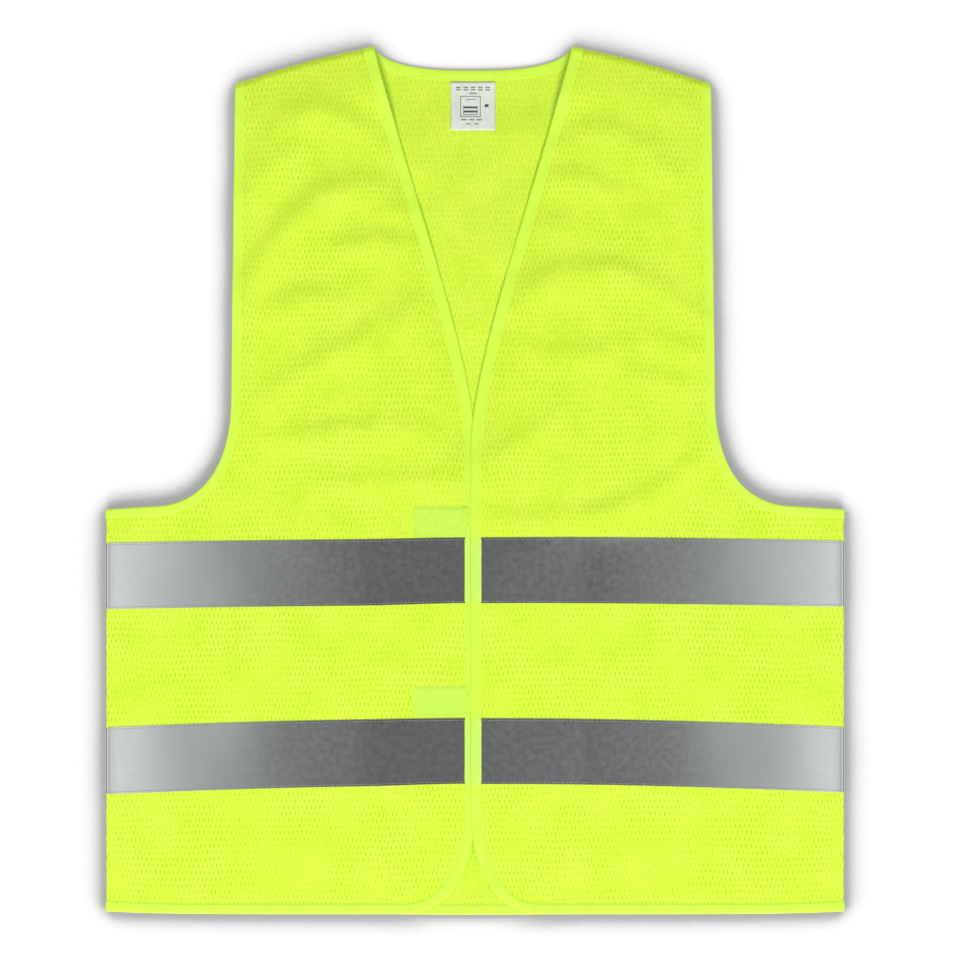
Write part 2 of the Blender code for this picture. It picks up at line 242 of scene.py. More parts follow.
def front_line():
    """The V, front edge, rounded corner and hem on the pattern."""
    turn = np.radians(np.linspace(0, 90, 41))
    out = np.clip(np.cos(turn), 0, 1) ** CORNER_POWER
    up = np.sin(turn) ** CORNER_POWER
    across = FRONT_X + CORNER_WIDTH * (1 - out)
    corner = np.stack([across, HEM_Y + CORNER_HEIGHT * (1 - up)], 1)
    end = np.array([(END_X, HEM_Y)])
    line = np.concatenate([shoulder_line()[-1:], V_LINE[::-1], corner, end])
    return resampled(line, LINE_STEP)


def neck_line():
    """The back of the neck on the pattern, from the left seam to the right one."""
    half = np.concatenate([shoulder_line()[-1:], bezier(NECK, 20)])
    return resampled(np.concatenate([half, mirrored(half)[1:]]), LINE_STEP)


# ---------------------------------------------------------------- laying

# Folds of the front cloth: the line of the ridge from its start, past its
# middle, to its end, then the ridge's height and the reach of its upper flank,
# in millimetres
FOLDS = [
    ((-178, 204), (-152, 240), (-118, 252), 3.0, 9),
    ((-170, 240), (-120, 280), (-60, 244), 3.4, 10),
    ((-180, 130), (-124, 208), (-58, 219), 5.0, 11),
    ((-106, 175), (-76, 181), (-44, 179), 3.0, 7),
    ((-82, 197), (-60, 205), (-42, 204), 2.0, 6),
    ((-164, 118), (-132, 137), (-102, 135), 2.8, 10),
    ((-132, 86), (-90, 104), (-48, 130), 2.8, 8),
    ((-178, 54), (-142, 71), (-110, 86), 1.8, 8),
    ((-170, 28), (-96, 38), (-30, 38), 2.0, 7),
    ((-124, -6), (-70, -1), (-8, -2), 1.5, 6),
    ((54, 236), (100, 266), (156, 228), 2.4, 9),
    ((46, 220), (76, 231), (106, 218), 2.2, 7),
    ((42, 187), (60, 195), (84, 196), 1.6, 7),
    ((30, 128), (104, 158), (182, 112), 3.1, 10),
    ((28, 148), (48, 154), (72, 158), 1.4, 6),
    ((42, 99), (76, 95), (112, 99), 2.0, 8),
    ((110, 80), (144, 75), (182, 70), 2.1, 7),
    ((132, 108), (156, 102), (182, 86), 1.6, 7),
    ((8, 12), (46, 34), (82, 64), 2.0, 8),
    ((2, -27), (110, -21), (186, 34), 2.4, 7),
]
FOLD_STEPS = 60
FOLD_GENTLE = 2.2  # reach of a fold's lower flank, by that of its upper one
FOLD_END = 10 * MM  # how far a fold goes on past its ends, as it fades out


def fold_rise(x, y):
    """The height that the folds give the front cloth, by real x and y."""
    point = np.stack([x, y], -1)
    rise = np.zeros(x.shape)
    for start, middle, end, height, steep in FOLDS:
        a, m, c = (np.array(p, float) * MM for p in (start, middle, end))
        b = 2 * m - (a + c) / 2
        t = np.linspace(0, 1, FOLD_STEPS + 1)[:, None]
        line = a * (1 - t) ** 2 + 2 * b * t * (1 - t) + c * t * t
        gap = point[..., None, :] - line
        nearest = np.argmin((gap**2).sum(-1), axis=-1)
        run = np.gradient(line, axis=0)
        run /= np.linalg.norm(run, axis=1)[:, None]
        offset = np.take_along_axis(gap, nearest[..., None, None], axis=-2)[..., 0, :]
        side = -offset[..., 0] * run[nearest, 1] + offset[..., 1] * run[nearest, 0]
        past = (offset * run[nearest]).sum(-1)
        reach = steep * MM * np.where(side * np.sign(end[0] - start[0]) > 0, 1, FOLD_GENTLE)
        window = np.sin(np.pi * np.clip(0.08 + 0.84 * nearest / FOLD_STEPS, 0, 1)) ** 0.7
        shape = np.exp(-((side / reach) ** 2) - (past / FOLD_END) ** 2)
        rise = rise + height * MM * window * shape
    return rise


def waves(x, y, seed, shortest, longest, count=9):
    """Soft random waves of about unit height, with lengths in millimetres."""
    random = np.random.default_rng(seed)
    total = np.zeros(x.shape)
    for _ in range(count):
        turn = random.uniform(0, math.pi)
        length = random.uniform(shortest * MM, longest * MM)
        phase = random.uniform(0, 2 * math.pi)
        along = x * math.cos(turn) + y * math.sin(turn)
        total = total + np.sin(2 * math.pi * along / length + phase)
    return total / math.sqrt(count / 2) / 1.6


SETTLED = {}  # the simulated heights of each front, on a grid
FOLD_FREE = 1.7 * MM  # how high the cloth may stand where a front folds open
FOLD_SPARE = 0.9 * MM  # and how much more it may, to stay below its hinge


def shoulder_calm(x, y):
    """0 at the shoulder seam and 1 well away from it."""
    gap = np.polyval(SHOULDER_FIT, np.clip(x, SHOULDER[-1, 0], SHOULDER[0, 0])) - y
    return smoothstep(gap, 5 * MM, 30 * MM)


def seam_calm(x, y):
    """0 at the side and shoulder seams and 1 well away from them."""
    return smoothstep(ARC_X - x, 0, 25 * MM) * shoulder_calm(x, y)


def in_neck(y):
    """1 where the neck is open, fading to 0 above and below."""
    return smoothstep(y, 0, 50 * MM) * (1 - smoothstep(y, 262 * MM, 296 * MM))


def drawn_rise(x, y, side):
    """The wrinkles that the front cloth is laid down with."""
    real_x = x * side
    upper = smoothstep(y, -30 * MM, 20 * MM)
    soft = waves(real_x, y, 3, 60, 140) * (0.04 + 0.56 * upper) * MM
    small = waves(real_x, y, 8, 14, 34) * (0.004 + 0.176 * upper) * MM
    return (soft + small + fold_rise(real_x, y)) * seam_calm(x, y)


def front_rise(x, y, side):
    """How far the front cloth stands above its level."""
    puff = FRONT_PUFF * (1 - np.exp(-np.clip(ARC_X - x, 0, None) / (70 * MM)))
    from_v = (x - np.interp(y, V_LINE[:, 1], V_LINE[:, 0])) / (28 * MM)
    droop = NECK_DROOP * np.exp(-(from_v**2)) * in_neck(y)
    rise = puff * shoulder_calm(x, y) - droop * seam_calm(x, y)
    if side in SETTLED:
        rise = rise + sampled(SETTLED[side], x, y)
    else:
        rise = rise + drawn_rise(x, y, side)
    near_fold = np.exp(-(((x - FOLD_X) / (11 * MM)) ** 2))
    excess = np.clip(rise - FOLD_FREE, 0, None)
    rise = rise + near_fold * (FOLD_SPARE * np.tanh(excess / FOLD_SPARE) - excess)
    reach = FOLD_X + 15 * MM
    near_edge = np.clip((reach - x) / (reach - FRONT_X), 0, 1) ** 1.15
    overlap = near_edge * (1 - smoothstep(y, 30 * MM, 130 * MM))
    rise = rise + (FLAP_LIFT if side > 0 else -FLAP_SINK) * overlap
    lowest = BACK_Z - FRONT_Z + back_rise(x, y, side) + RESTING
    return lowest + np.logaddexp(0, (rise - lowest) / CONTACT) * CONTACT


def back_rise(x, y, side):
    """How far the back cloth stands above its level."""
    soft = 0.35 * MM * (1 + waves(x * side, y, 5, 50, 130))
    calm = seam_calm(x, y) * smoothstep(y, HEM_Y, HEM_Y + 30 * MM)
    neck = NECK_PUFF * in_neck(y) * np.exp(-((x / (85 * MM)) ** 4))
    bare = 1 - smoothstep(np.abs(x), 25 * MM, 95 * MM)
    bare = bare * (1 - smoothstep(y, HEM_Y + 5 * MM, HEM_Y + 70 * MM))
    return (np.clip(soft, 0, None) + neck) * calm + HEM_LIFT * bare


def laid(points, lift, side, layer):
    """Where points of the flat pattern come to lie, at a lift off the cloth."""
    x = np.abs(points[:, 0]) if layer == BACK else points[:, 0]
    sign = np.where(points[:, 0] < 0, -1, 1) * side if layer == BACK else side
    y = points[:, 1]
    lift = np.broadcast_to(lift, x.shape)
    normal = shoulder_normal(np.clip(x, SHOULDER[-1, 0], SHOULDER[0, 0]))
    start = np.polyval(SHOULDER_FIT, x) - SEAM_SETBACK / normal[:, 1]
    over_top = np.where(x > 60 * MM, np.clip((y - start) * normal[:, 1], 0, None), 0)
    over_side = np.clip(x - ARC_X, 0, None)
    turn_top = np.clip(over_top / ROLL, 0, math.pi / 2)
    level = FRONT_Z if layer == FRONT else BACK_Z
    rise = front_rise(x, y, side) if layer == FRONT else back_rise(x, y, sign)
    y = y + hem_shift(x, y, layer)
    out_side, down_side = side_roll(over_side, lift)
    out_top = (ROLL + lift) * np.sin(turn_top)
    down_top = ROLL - (ROLL + lift) * np.cos(turn_top)
    at_side = over_side > 0
    new_x = x - over_side + np.where(at_side, out_side, normal[:, 0] * (out_top - over_top))
    new_x = new_x + fuller(x, sign)
    new_y = y + np.where(at_side, 0, normal[:, 1] * (out_top - over_top))
    new_z = level + rise - layer * np.where(at_side, down_side, down_top)
    return np.stack([new_x * sign, new_y, new_z], 1)


def fuller(x, sign):
    """How much further out the wearer's left half lies at its side."""
    return np.where(np.asarray(sign) > 0, FULLER, 0) * smoothstep(x, 190 * MM, SEAM_X)


def side_roll(along, lift):
    """How far out and down the cloth goes at the side: over a bend and down."""
    level = ROLL - BEND
    along = along * (2 * level + BEND * math.pi / 2) / ROLL_LENGTH
    turn = np.clip((along - level) / BEND, 0, math.pi / 2)
    drop = np.clip(along - level - BEND * math.pi / 2, 0, None)
    out = np.minimum(along, level) + (BEND + lift) * np.sin(turn)
    return out, BEND + drop - (BEND + lift) * np.cos(turn)


def hem_shift(x, y, layer):
    """How far the hem stands up at the sides, and hangs down at the back's middle."""
    low = 1 - smoothstep(y, HEM_Y, HEM_Y + 60 * MM)
    up = 2.0 * MM * np.clip(x / SEAM_X, 0, 1) ** 7
    if layer == BACK:
        up = up - 1.1 * MM * (1 - smoothstep(x, ARC_X - 60 * MM, ARC_X))
    return low * up


# ---------------------------------------------------------------- settling

GRID = 5.0 * MM
GRID_LOW = np.array([-15.0, -345.0]) * MM
GRID_COUNT = (62, 140)
SIM_SCALE = 10.0  # the cloth solver is steadier at this size
SIM_FRAMES = 24
SIM_RANGE = (-1.0 * MM, 4.2 * MM)  # of the heights that are kept
SLACK = 0.02  # how much wider the upper cloth is than the space it lies in
SOLVER = {
    "quality": 6,
    "mass": 0.2,
    "tension_stiffness": 20,
    "compression_stiffness": 20,
    "shear_stiffness": 8,
    "bending_stiffness": 1.5,
    "air_damping": 2,
    "vertex_group_mass": "hold",
    "pin_stiffness": 3,
    "vertex_group_shrink": "slack",
    "shrink_min": 0.0,
    "shrink_max": -SLACK,
}


def spline_weights(t):
    """The shares of four neighbours in a smooth curve between the middle two."""
    s = 1 - t
    middle = [(4 - 6 * u * u + 3 * u**3) / 6 for u in (t, s)]
    return s**3 / 6, *middle, t**3 / 6


def sampled(field, x, y):
    """A grid of heights, read between its points."""
    u = np.clip((x - GRID_LOW[0]) / GRID, 1, GRID_COUNT[0] - 3)
    v = np.clip((y - GRID_LOW[1]) / GRID, 1, GRID_COUNT[1] - 3)
    i, j = u.astype(int), v.astype(int)
    total = np.zeros(x.shape)
    for a, across in enumerate(spline_weights(u - i)):
        for b, along in enumerate(spline_weights(v - j)):
            total = total + field[i + a - 1, j + b - 1] * across * along
    return total


def inside(points, outline):
    """Which points lie inside a closed outline."""
    found = np.zeros(len(points), bool)
    x, y = points[:, 0], points[:, 1]
    for (x1, y1), (x2, y2) in zip(outline, np.roll(outline, -1, axis=0)):
        if y1 != y2:
            found ^= ((y1 > y) != (y2 > y)) & (x < (x2 - x1) * (y - y1) / (y2 - y1) + x1)
    return found


def gaps(points, line):
    """How far each point is from the nearest point of a line."""
    tree = KDTree(len(line))
    for number, (x, y) in enumerate(line):
        tree.insert((x, y, 0), number)
    tree.balance()
    return np.array([tree.find((x, y, 0))[2] for x, y in points])


def net(across, along):
    """The quads between the points of a grid, by how many there are each way."""
    first = np.arange(across)[:, None] * (along + 1) + np.arange(along)
    corners = [first, first + along + 1, first + along + 2, first + 1]
    return np.stack(corners, -1).reshape(-1, 4)


def held(points, outline):
    """How firmly the seams, bindings and bands hold each point of a front."""
    hold = 1 - smoothstep(gaps(points, outline), 4 * MM, 9 * MM)
    y = points[:, 1]
    for name in BANDS:
        low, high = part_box(f"{name}_band_back")
        band = smoothstep(y, low[1] - 4 * MM, low[1] + 2 * MM)
        band = band * (1 - smoothstep(y, high[1] - 2 * MM, high[1] + 4 * MM))
        hold = np.maximum(hold, 0.9 * band)
    return hold


def spread(field, times):
    """Carries the known heights of a grid on past their edge, and 0 beyond."""
    for _ in range(times):
        padded = np.pad(field, 1, constant_values=np.nan)
        windows = np.lib.stride_tricks.sliding_window_view(padded, (3, 3))
        known = ~np.isnan(windows)
        count = known.sum((2, 3))
        mean = np.where(known, windows, 0).sum((2, 3)) / np.maximum(count, 1)
        field = np.where(np.isnan(field) & (count > 0), mean, field)
    return np.nan_to_num(field)


def cloth_solver(cloth):
    """Gives a flat cloth its solver, and a table just below it to lie on."""
    bpy.ops.mesh.primitive_plane_add(size=40, location=(0, 0, -0.6 * MM * SIM_SCALE))
    table = bpy.context.object
    table.modifiers.new("table", "COLLISION")
    table.collision.thickness_outer = 0.001
    solver = cloth.modifiers.new("cloth", "CLOTH")
    solver.settings.effector_weights.gravity = 0.03
    for key, value in SOLVER.items():
        setattr(solver.settings, key, value)
    solver.collision_settings.distance_min = 0.004
    solver.collision_settings.use_self_collision = False
    solver.point_cache.frame_start = 1
    solver.point_cache.frame_end = SIM_FRAMES
    return table


def settle(side, outline):
    """Lets one front's cloth settle with its wrinkles, and keeps its heights."""
    places = [GRID_LOW[k] + GRID * np.arange(GRID_COUNT[k]) for k in (0, 1)]
    flat = np.stack(np.meshgrid(*places, indexing="ij"), -1).reshape(-1, 2)
    within = inside(flat, outline)
    number = np.full(len(flat), -1)
    number[within] = np.arange(within.sum())
    height = drawn_rise(flat[:, 0], flat[:, 1], side)
    points = np.concatenate([flat, height[:, None]], 1)[within] * SIM_SCALE
    quads = number[net(GRID_COUNT[0] - 1, GRID_COUNT[1] - 1)]
    mesh = bpy.data.meshes.new("settling")
    mesh.from_pydata(points.tolist(), [], quads[quads.min(1) >= 0].tolist())
    cloth = bpy.data.objects.new("settling", mesh)
    bpy.context.collection.objects.link(cloth)
    slack = smoothstep(flat[within, 1], -30 * MM, 30 * MM)
    for name, weights in (("hold", held(flat[within], outline)), ("slack", slack)):
        group = cloth.vertex_groups.new(name=name)
        for n, weight in enumerate(weights):
            if weight > 0.001:
                group.add([n], float(weight), "REPLACE")
    table = cloth_solver(cloth)
    for step in range(1, SIM_FRAMES + 1):
        bpy.context.scene.frame_set(step)
    seen = cloth.evaluated_get(bpy.context.evaluated_depsgraph_get())
    settled = np.zeros(len(points) * 3)
    seen.to_mesh().vertices.foreach_get("co", settled)
    seen.to_mesh_clear()
    bpy.context.scene.frame_set(1)
    for made in (cloth, table):
        bpy.data.objects.remove(made)
    field = np.full(len(flat), np.nan)
    field[within] = np.clip(settled[2::3] / SIM_SCALE, *SIM_RANGE)
    SETTLED[side] = spread(field.reshape(GRID_COUNT), 8)


# ---------------------------------------------------------------- meshes


def new_piece(name, vertices, faces, look, uv, smooth_angle=None, closed=False):
    """An object with its place on the pattern as UV. A closed one is turned out."""
    mesh = bpy.data.meshes.new(name)
    mesh.from_pydata([tuple(v) for v in vertices], [], [tuple(map(int, f)) for f in faces])
    layer = mesh.uv_layers.new(name="flat")
    corner = np.zeros(len(mesh.loops), int)
    mesh.loops.foreach_get("vertex_index", corner)
    layer.data.foreach_set("uv", np.asarray(uv, np.float32)[corner].ravel())
    mesh.shade_smooth()
    if smooth_angle:
        mesh.set_sharp_from_angle(angle=math.radians(smooth_angle))
    mesh.materials.append(look)
    if closed:
        bm = bmesh.new()
        bm.from_mesh(mesh)
        bmesh.ops.recalc_face_normals(bm, faces=bm.faces)
        bm.to_mesh(mesh)
        bm.free()
    piece = bpy.data.objects.new(name, mesh)
    bpy.context.collection.objects.link(piece)
    return piece


def thicken(piece, thickness):
    shell = piece.modifiers.new("thickness", "SOLIDIFY")
    shell.thickness = thickness
    shell.offset = 0


def filled(stretches, step):
    """A net of even triangles over the pattern inside an outline."""
    outline = np.concatenate([resampled(line, step)[:-1] for line in stretches])
    low, high = outline.min(0), outline.max(0)
    row_step = step * math.sqrt(0.75)
    columns = straight(low[0], 0, high[0], 0, step)[:, 0]
    between = (columns[1:] + columns[:-1]) / 2
    grid = []
    for row, y in enumerate(np.arange(low[1] + row_step / 2, high[1], row_step)):
        x = between if row % 2 else columns
        grid.append(np.stack([x, np.full(len(x), y)], 1))
    grid = np.concatenate(grid)
    grid = grid[inside(grid, outline)]
    points = np.concatenate([outline, grid[gaps(grid, outline) > step * 0.6]])
    count = len(outline)
    ring = [(n, (n + 1) % count) for n in range(count)]
    vectors = [Vector((x / step, y / step)) for x, y in points]
    found, _, faces, *_ = delaunay_2d_cdt(vectors, ring, [], 1, 1e-6)
    return np.array([(v.x, v.y) for v in found]) * step, faces


def tube_faces(rings, sides, start=0, closed=False):
    """The quads of a tube through rings of points, and an open one's end caps."""
    faces = []
    for ring in range(rings if closed else rings - 1):
        here = start + ring * sides
        there = start + (ring + 1) % rings * sides
        for n in range(sides):
            m = (n + 1) % sides
            faces.append((here + n, there + n, there + m, here + m))
    if not closed:
        last = start + (rings - 1) * sides
        faces.append(tuple(range(start, start + sides)))
        faces.append(tuple(range(last, last + sides))[::-1])
    return faces


def swept(name, rings, look, closed, along, around):
    """A closed skin through rings of points, capped at its ends if it is open."""
    count, sides = rings.shape[:2]
    faces = tube_faces(count, sides, closed=closed)
    uv = np.stack([np.repeat(along, sides), np.tile(around, count)], 1)
    return new_piece(name, rings.reshape(-1, 3), faces, look, uv, 50, closed=True)


def threads(name, rings, stations, look, uv):
    """Many short round threads, each through its own rings of points."""
    sides = rings.shape[1]
    faces = []
    for first in range(0, len(rings), stations):
        faces += tube_faces(stations, sides, first * sides)
    return new_piece(name, rings.reshape(-1, 3), faces, look, uv, closed=True)


def plate(name, top, under, counts, look, rows, smooth_angle=None):
    """A closed plate between an upper and a lower grid of points."""
    across, along = counts
    stride = along + 1
    quads = net(across, along)
    total = len(rows)
    rim = [i * stride for i in range(across + 1)]
    rim += [across * stride + j for j in range(1, stride)]
    rim += [i * stride + along for i in range(across - 1, -1, -1)]
    rim += list(range(along - 1, 0, -1))
    edge = [(a, b, total + b, total + a) for a, b in zip(rim, rim[1:] + rim[:1])]
    faces = np.concatenate([quads, total + quads[:, ::-1], edge])
    points = np.concatenate([top, under])
    return new_piece(name, points, faces, look, np.tile(rows, (2, 1)), smooth_angle, True)


def unit_grid(counts):
    """A grid of points from -1 to 1 both ways."""
    places = [np.linspace(-1, 1, count + 1) for count in counts]
    return np.stack(np.meshgrid(*places, indexing="ij"), -1)


# Section of the folded binding: share of its width in from the edge, and
# height in millimetres above the cloth's middle, round the outside of the upper
# leg to its tip, back along its inside, and the same below
BINDING_TOP = [(0.00, 0.0), (0.012, 0.36), (0.06, 0.64), (0.16, 0.76), (0.5, 0.76), (0.82, 0.60)]
BINDING_TIP = [(0.93, 0.43), (1.0, 0.29), (0.985, 0.22)]
BINDING_INSIDE = [(0.84, 0.24), (0.5, 0.36), (0.2, 0.36), (0.09, 0.26)]
BINDING_CREASE = (0.075, 0.0)


def binding_section():
    upper = np.array(BINDING_TOP[1:] + BINDING_TIP + BINDING_INSIDE)
    lower = upper[::-1] * (1, -1)
    return np.concatenate([BINDING_TOP[:1], upper, [BINDING_CREASE], lower])


def binding_rings(line, width, side, layer, bulge=0.0):
    """Rings of a folded binding along a line of the pattern, cloth on its left."""
    rings = []
    for depth, height in binding_section():
        lift = height * MM + bulge * (depth > 0.1 and height > 0)
        rings.append(laid(inset(line, depth * width), lift, side, layer))
    return np.stack(rings, 1)


def around_section(width):
    section = binding_section() * (width, MM)
    return lengths(np.concatenate([section, section[:1]]))[:-1]


def band_strip(name, line_top, line_low, side, layer):
    """A strip of reflective tape between two lines of the pattern."""
    across = 14
    share = np.linspace(0, 1, across + 1)
    crown = np.sin(np.pi * share) ** 0.5 * 0.10 * MM
    lifts = np.tile(TAPE_LIFT + crown, len(line_top))
    share = share[None, :, None]
    rows = (line_top[:, None] * (1 - share) + line_low[:, None] * share).reshape(-1, 2)
    top = laid(rows, lifts + TAPE, side, layer)
    under = laid(rows, lifts, side, layer)
    return plate(name, top, under, (len(line_top) - 1, across), SILVER_LOOK, rows, 40)


def stitch_row(name, line, lift, side, layer, look, face=1):
    """A row of lock stitches along a line, on its outer or (-1) inner face.

    The lift is a height off the cloth, or a function that gives it by place.
    """
    along = lengths(line)
    starts = np.arange(STITCH_GAP, along[-1] - STITCH, STITCH + STITCH_GAP)
    stations = np.array([0.0, 0.12, 0.5, 0.88, 1.0]) * STITCH
    radii = np.tile(np.array([0.35, 0.9, 1.0, 0.9, 0.35]) * THREAD, len(starts))
    height = np.array([-0.6, 0.25, 0.5, 0.25, -0.6]) * THREAD * face
    at = (starts[:, None] + stations).ravel()
    spine = at_lengths(line, along, at)
    normal = at_lengths(inward(line), along, at)
    lifts = (lift(spine) if callable(lift) else lift) + np.tile(height, len(starts))
    sides = 6
    rings = []
    for angle in 2 * math.pi * np.arange(sides) / sides:
        sideways = spine + normal * (radii * math.cos(angle))[:, None]
        rings.append(laid(sideways, lifts + radii * 0.8 * math.sin(angle), side, layer))
    uv = np.stack([np.repeat(at, sides), np.tile(np.arange(sides) * THREAD, len(at))], 1)
    return threads(name, np.stack(rings, 1), len(stations), look, uv)


# ---------------------------------------------------------------- materials


class Term:
    """A node's output, which sums and products can be written with."""

    def __init__(self, nodes, socket):
        self.nodes = nodes
        self.socket = socket

    def __add__(self, other):
        return self.nodes.math("ADD", self, other)

    def __sub__(self, other):
        return self.nodes.math("SUBTRACT", self, other)

    def __mul__(self, other):
        return self.nodes.math("MULTIPLY", self, other)

    def __truediv__(self, other):
        return self.nodes.math("DIVIDE", self, other)

    def __pow__(self, other):
        return self.nodes.math("POWER", self, other)


class Nodes:
    """A short way to write the nodes of a material or world."""

    def __init__(self, owner, shader="Principled BSDF"):
        owner.use_nodes = True
        self.owner = owner
        self.tree = owner.node_tree
        self.shader = self.tree.nodes[shader]

    def add(self, kind, inputs, output, **settings):
        """One output of a new node, whose inputs are given by name or number."""
        node = self.tree.nodes.new("ShaderNode" + kind)
        for key, value in settings.items():
            setattr(node, key, value)
        for key, value in inputs.items():
            self.feed(node.inputs[key], value)
        return Term(self, node.outputs[output])

    def feed(self, socket, value):
        if isinstance(value, Term):
            self.tree.links.new(value.socket, socket)
        else:
            socket.default_value = value

    def math(self, operation, *values):
        return self.add("Math", dict(enumerate(values)), 0, operation=operation)

    def vector(self, operation, *values):
        return self.add("VectorMath", dict(enumerate(values)), 0, operation=operation)

    def remap(self, *values, smooth=True):
        """A value, low and high, carried over to a new low and high."""
        kind = "SMOOTHSTEP" if smooth else "LINEAR"
        return self.add("MapRange", dict(enumerate(values)), 0, interpolation_type=kind)

    def mix(self, share, first, second, kind="RGBA"):
        inputs = {"Factor": share, "A": first, "B": second}
        return self.add("Mix", inputs, "Result", data_type=kind)

    def noise(self, vector, scale, detail=2.0, roughness=0.5, output="Fac"):
        inputs = {"Vector": vector, "Scale": scale, "Detail": detail, "Roughness": roughness}
        return self.add("TexNoise", inputs, output)

    def bump(self, height, strength, distance, below=None):
        inputs = {"Height": height, "Strength": strength, "Distance": distance}
        if below is not None:
            inputs["Normal"] = below
        return self.add("Bump", inputs, "Normal")

    def pattern(self):
        """The flat pattern's coordinates, in millimetres."""
        flat = self.add("UVMap", {}, "UV", uv_map="flat")
        return self.vector("MULTIPLY", flat, (1 / MM, 1 / MM, 1 / MM))

    def wandered(self, vector, scale, reach):
        """The vector, drawn out of true by soft noise."""
        wander = self.noise(vector, scale, output="Color")
        centred = self.vector("SUBTRACT", wander, (0.5, 0.5, 0.5))
        return self.vector("MULTIPLY_ADD", centred, reach, vector)

    def split(self, vector):
        node = self.add("SeparateXYZ", {0: vector}, 0).socket.node
        return [Term(self, socket) for socket in node.outputs]

    def wave(self, value, length):
        return self.math("SINE", value * (2 * math.pi / length))

    def set(self, **inputs):
        for key, value in inputs.items():
            self.feed(self.shader.inputs[key.replace("_", " ")], value)


LIME_DEEP = (0.565, 0.80, 0.022, 1)
LIME_PALE = (0.70, 0.905, 0.062, 1)
# Painted shade: the shaded lime that the middles of the holes are coloured with
PAINTED_HOLE_SHADE = (0.36, 0.62, 0.008, 1)
TAPE_LIME = (0.62, 0.92, 0.070, 1)
OVER_TAPE = (0.50, 0.80, 0.15, 1)
PAINTED_GLOW = (0.66, 1.0, 0.04, 1)  # painted glow: lime light that the cloth and bindings give off of themselves
PAINTED_GLOW_STRENGTH = 0.06
HOLE_PITCH = 3.39  # mm between holes in a row
ROW_PAIR = 9.8  # mm between every other row
HOLE_HALF_WIDTH = 0.165
HOLE_HALF_HEIGHT = 1.55
HOLE_LEAN = 0.40
HOLE_FILL = 0.56  # share of a hole that fine yarns close


def mesh_cloth():
    """Warp-knit mesh: rows of slots, each row half a pitch from the next."""
    n = Nodes(bpy.data.materials.new("mesh_cloth"))
    flat = n.pattern()
    drawn = n.wandered(n.wandered(flat, 0.013, (5.0, 10.0, 0)), 0.09, (1.8, 3.2, 0))
    x, y, _ = n.split(drawn)
    slots = []
    for drop in (0.0, 0.5):
        u = n.math("FRACT", x / HOLE_PITCH + drop)
        v = n.math("FRACT", y / ROW_PAIR + drop)
        du = (u - 0.5) * (HOLE_PITCH / HOLE_HALF_WIDTH)
        dv = (v - 0.5) * (ROW_PAIR / HOLE_HALF_HEIGHT)
        slots.append(n.math("SQRT", (du + dv * HOLE_LEAN) ** 2.0 + dv**2.0))
    away = n.math("MINIMUM", *slots)
    cloud = n.noise(flat, 0.022)
    fill = n.remap(cloud, 0.34, 0.66, HOLE_FILL, HOLE_FILL + 0.32)
    # Painted shade: how strongly the middles of the holes are darkened, varying softly
    painted_hole_shade = n.remap(cloud, 0.34, 0.66, 0.62, 0.40)
    solid = n.math("MAXIMUM", n.remap(away, 0.80, 1.15, 0.0, 1.0), fill)
    rim = n.remap(away, 0.9, 2.6, 1.0, 0.0)
    yarn = n.wave(x, HOLE_PITCH / 4) * n.wave(y, ROW_PAIR / 14)
    tone = n.noise(flat, 0.035, 3.0)
    speck = n.noise(n.vector("MULTIPLY", flat, (1.0, 0.3, 1.0)), 1.1)
    colour = n.mix(n.remap(tone * 0.3 + speck * 0.7, 0.36, 0.64, 0.0, 1.0), LIME_DEEP, LIME_PALE)
    # Painted shade: the cloth is darkened round each hole, as if shade fell into it
    colour = n.mix(rim * 0.22, colour, LIME_DEEP)
    # Painted shade: the middles of the holes take the shaded lime
    colour = n.mix(n.remap(away, 0.7, 1.5, 1.0, 0.0) * painted_hole_shade, colour, PAINTED_HOLE_SHADE)
    rough = n.remap(speck, 0.3, 0.7, 0.68, 0.9)
    knit = n.bump(yarn + speck * 3.0, 0.3, 0.00012)
    dish = n.bump(rim, 0.35, -0.0002, knit)
    n.set(Base_Color=colour, Roughness=rough, Normal=dish, Alpha=solid)
    n.set(Sheen_Weight=0.18, Sheen_Roughness=0.4, IOR=1.4)
    # Painted glow: the cloth gives off a little lime light of its own
    n.set(Emission_Color=PAINTED_GLOW, Emission_Strength=PAINTED_GLOW_STRENGTH)
    return n.owner


def woven_tape(name, colour, deep, rib=0.55, painted_glow=0.0):
    """Close woven tape with fine ribs across it."""
    n = Nodes(bpy.data.materials.new(name))
    flat = n.pattern()
    x, y, _ = n.split(flat)
    weave = n.wave(x, rib) + n.wave(y, rib * 0.8) * 0.5
    tone = n.noise(flat, 0.12, 3.0)
    shade = n.mix(n.remap(tone + weave * 0.05, 0.3, 0.7, 0.0, 1.0), deep, colour)
    if painted_glow:
        over = n.add("Attribute", {}, "Fac", attribute_name="over_tape")
        shade = n.mix(over, shade, OVER_TAPE)
        # Painted glow: the tape gives off a little lime light of its own
        n.set(Emission_Color=PAINTED_GLOW, Emission_Strength=painted_glow)
    crease = n.bump(n.noise(flat, 0.35), 0.3, 0.0004)
    normal = n.bump(weave, 0.25, 0.00008, crease)
    n.set(Base_Color=shade, Roughness=n.remap(tone, 0.3, 0.7, 0.6, 0.8), Normal=normal)
    n.set(Sheen_Weight=0.12, Sheen_Roughness=0.4, IOR=1.4)
    return n.owner


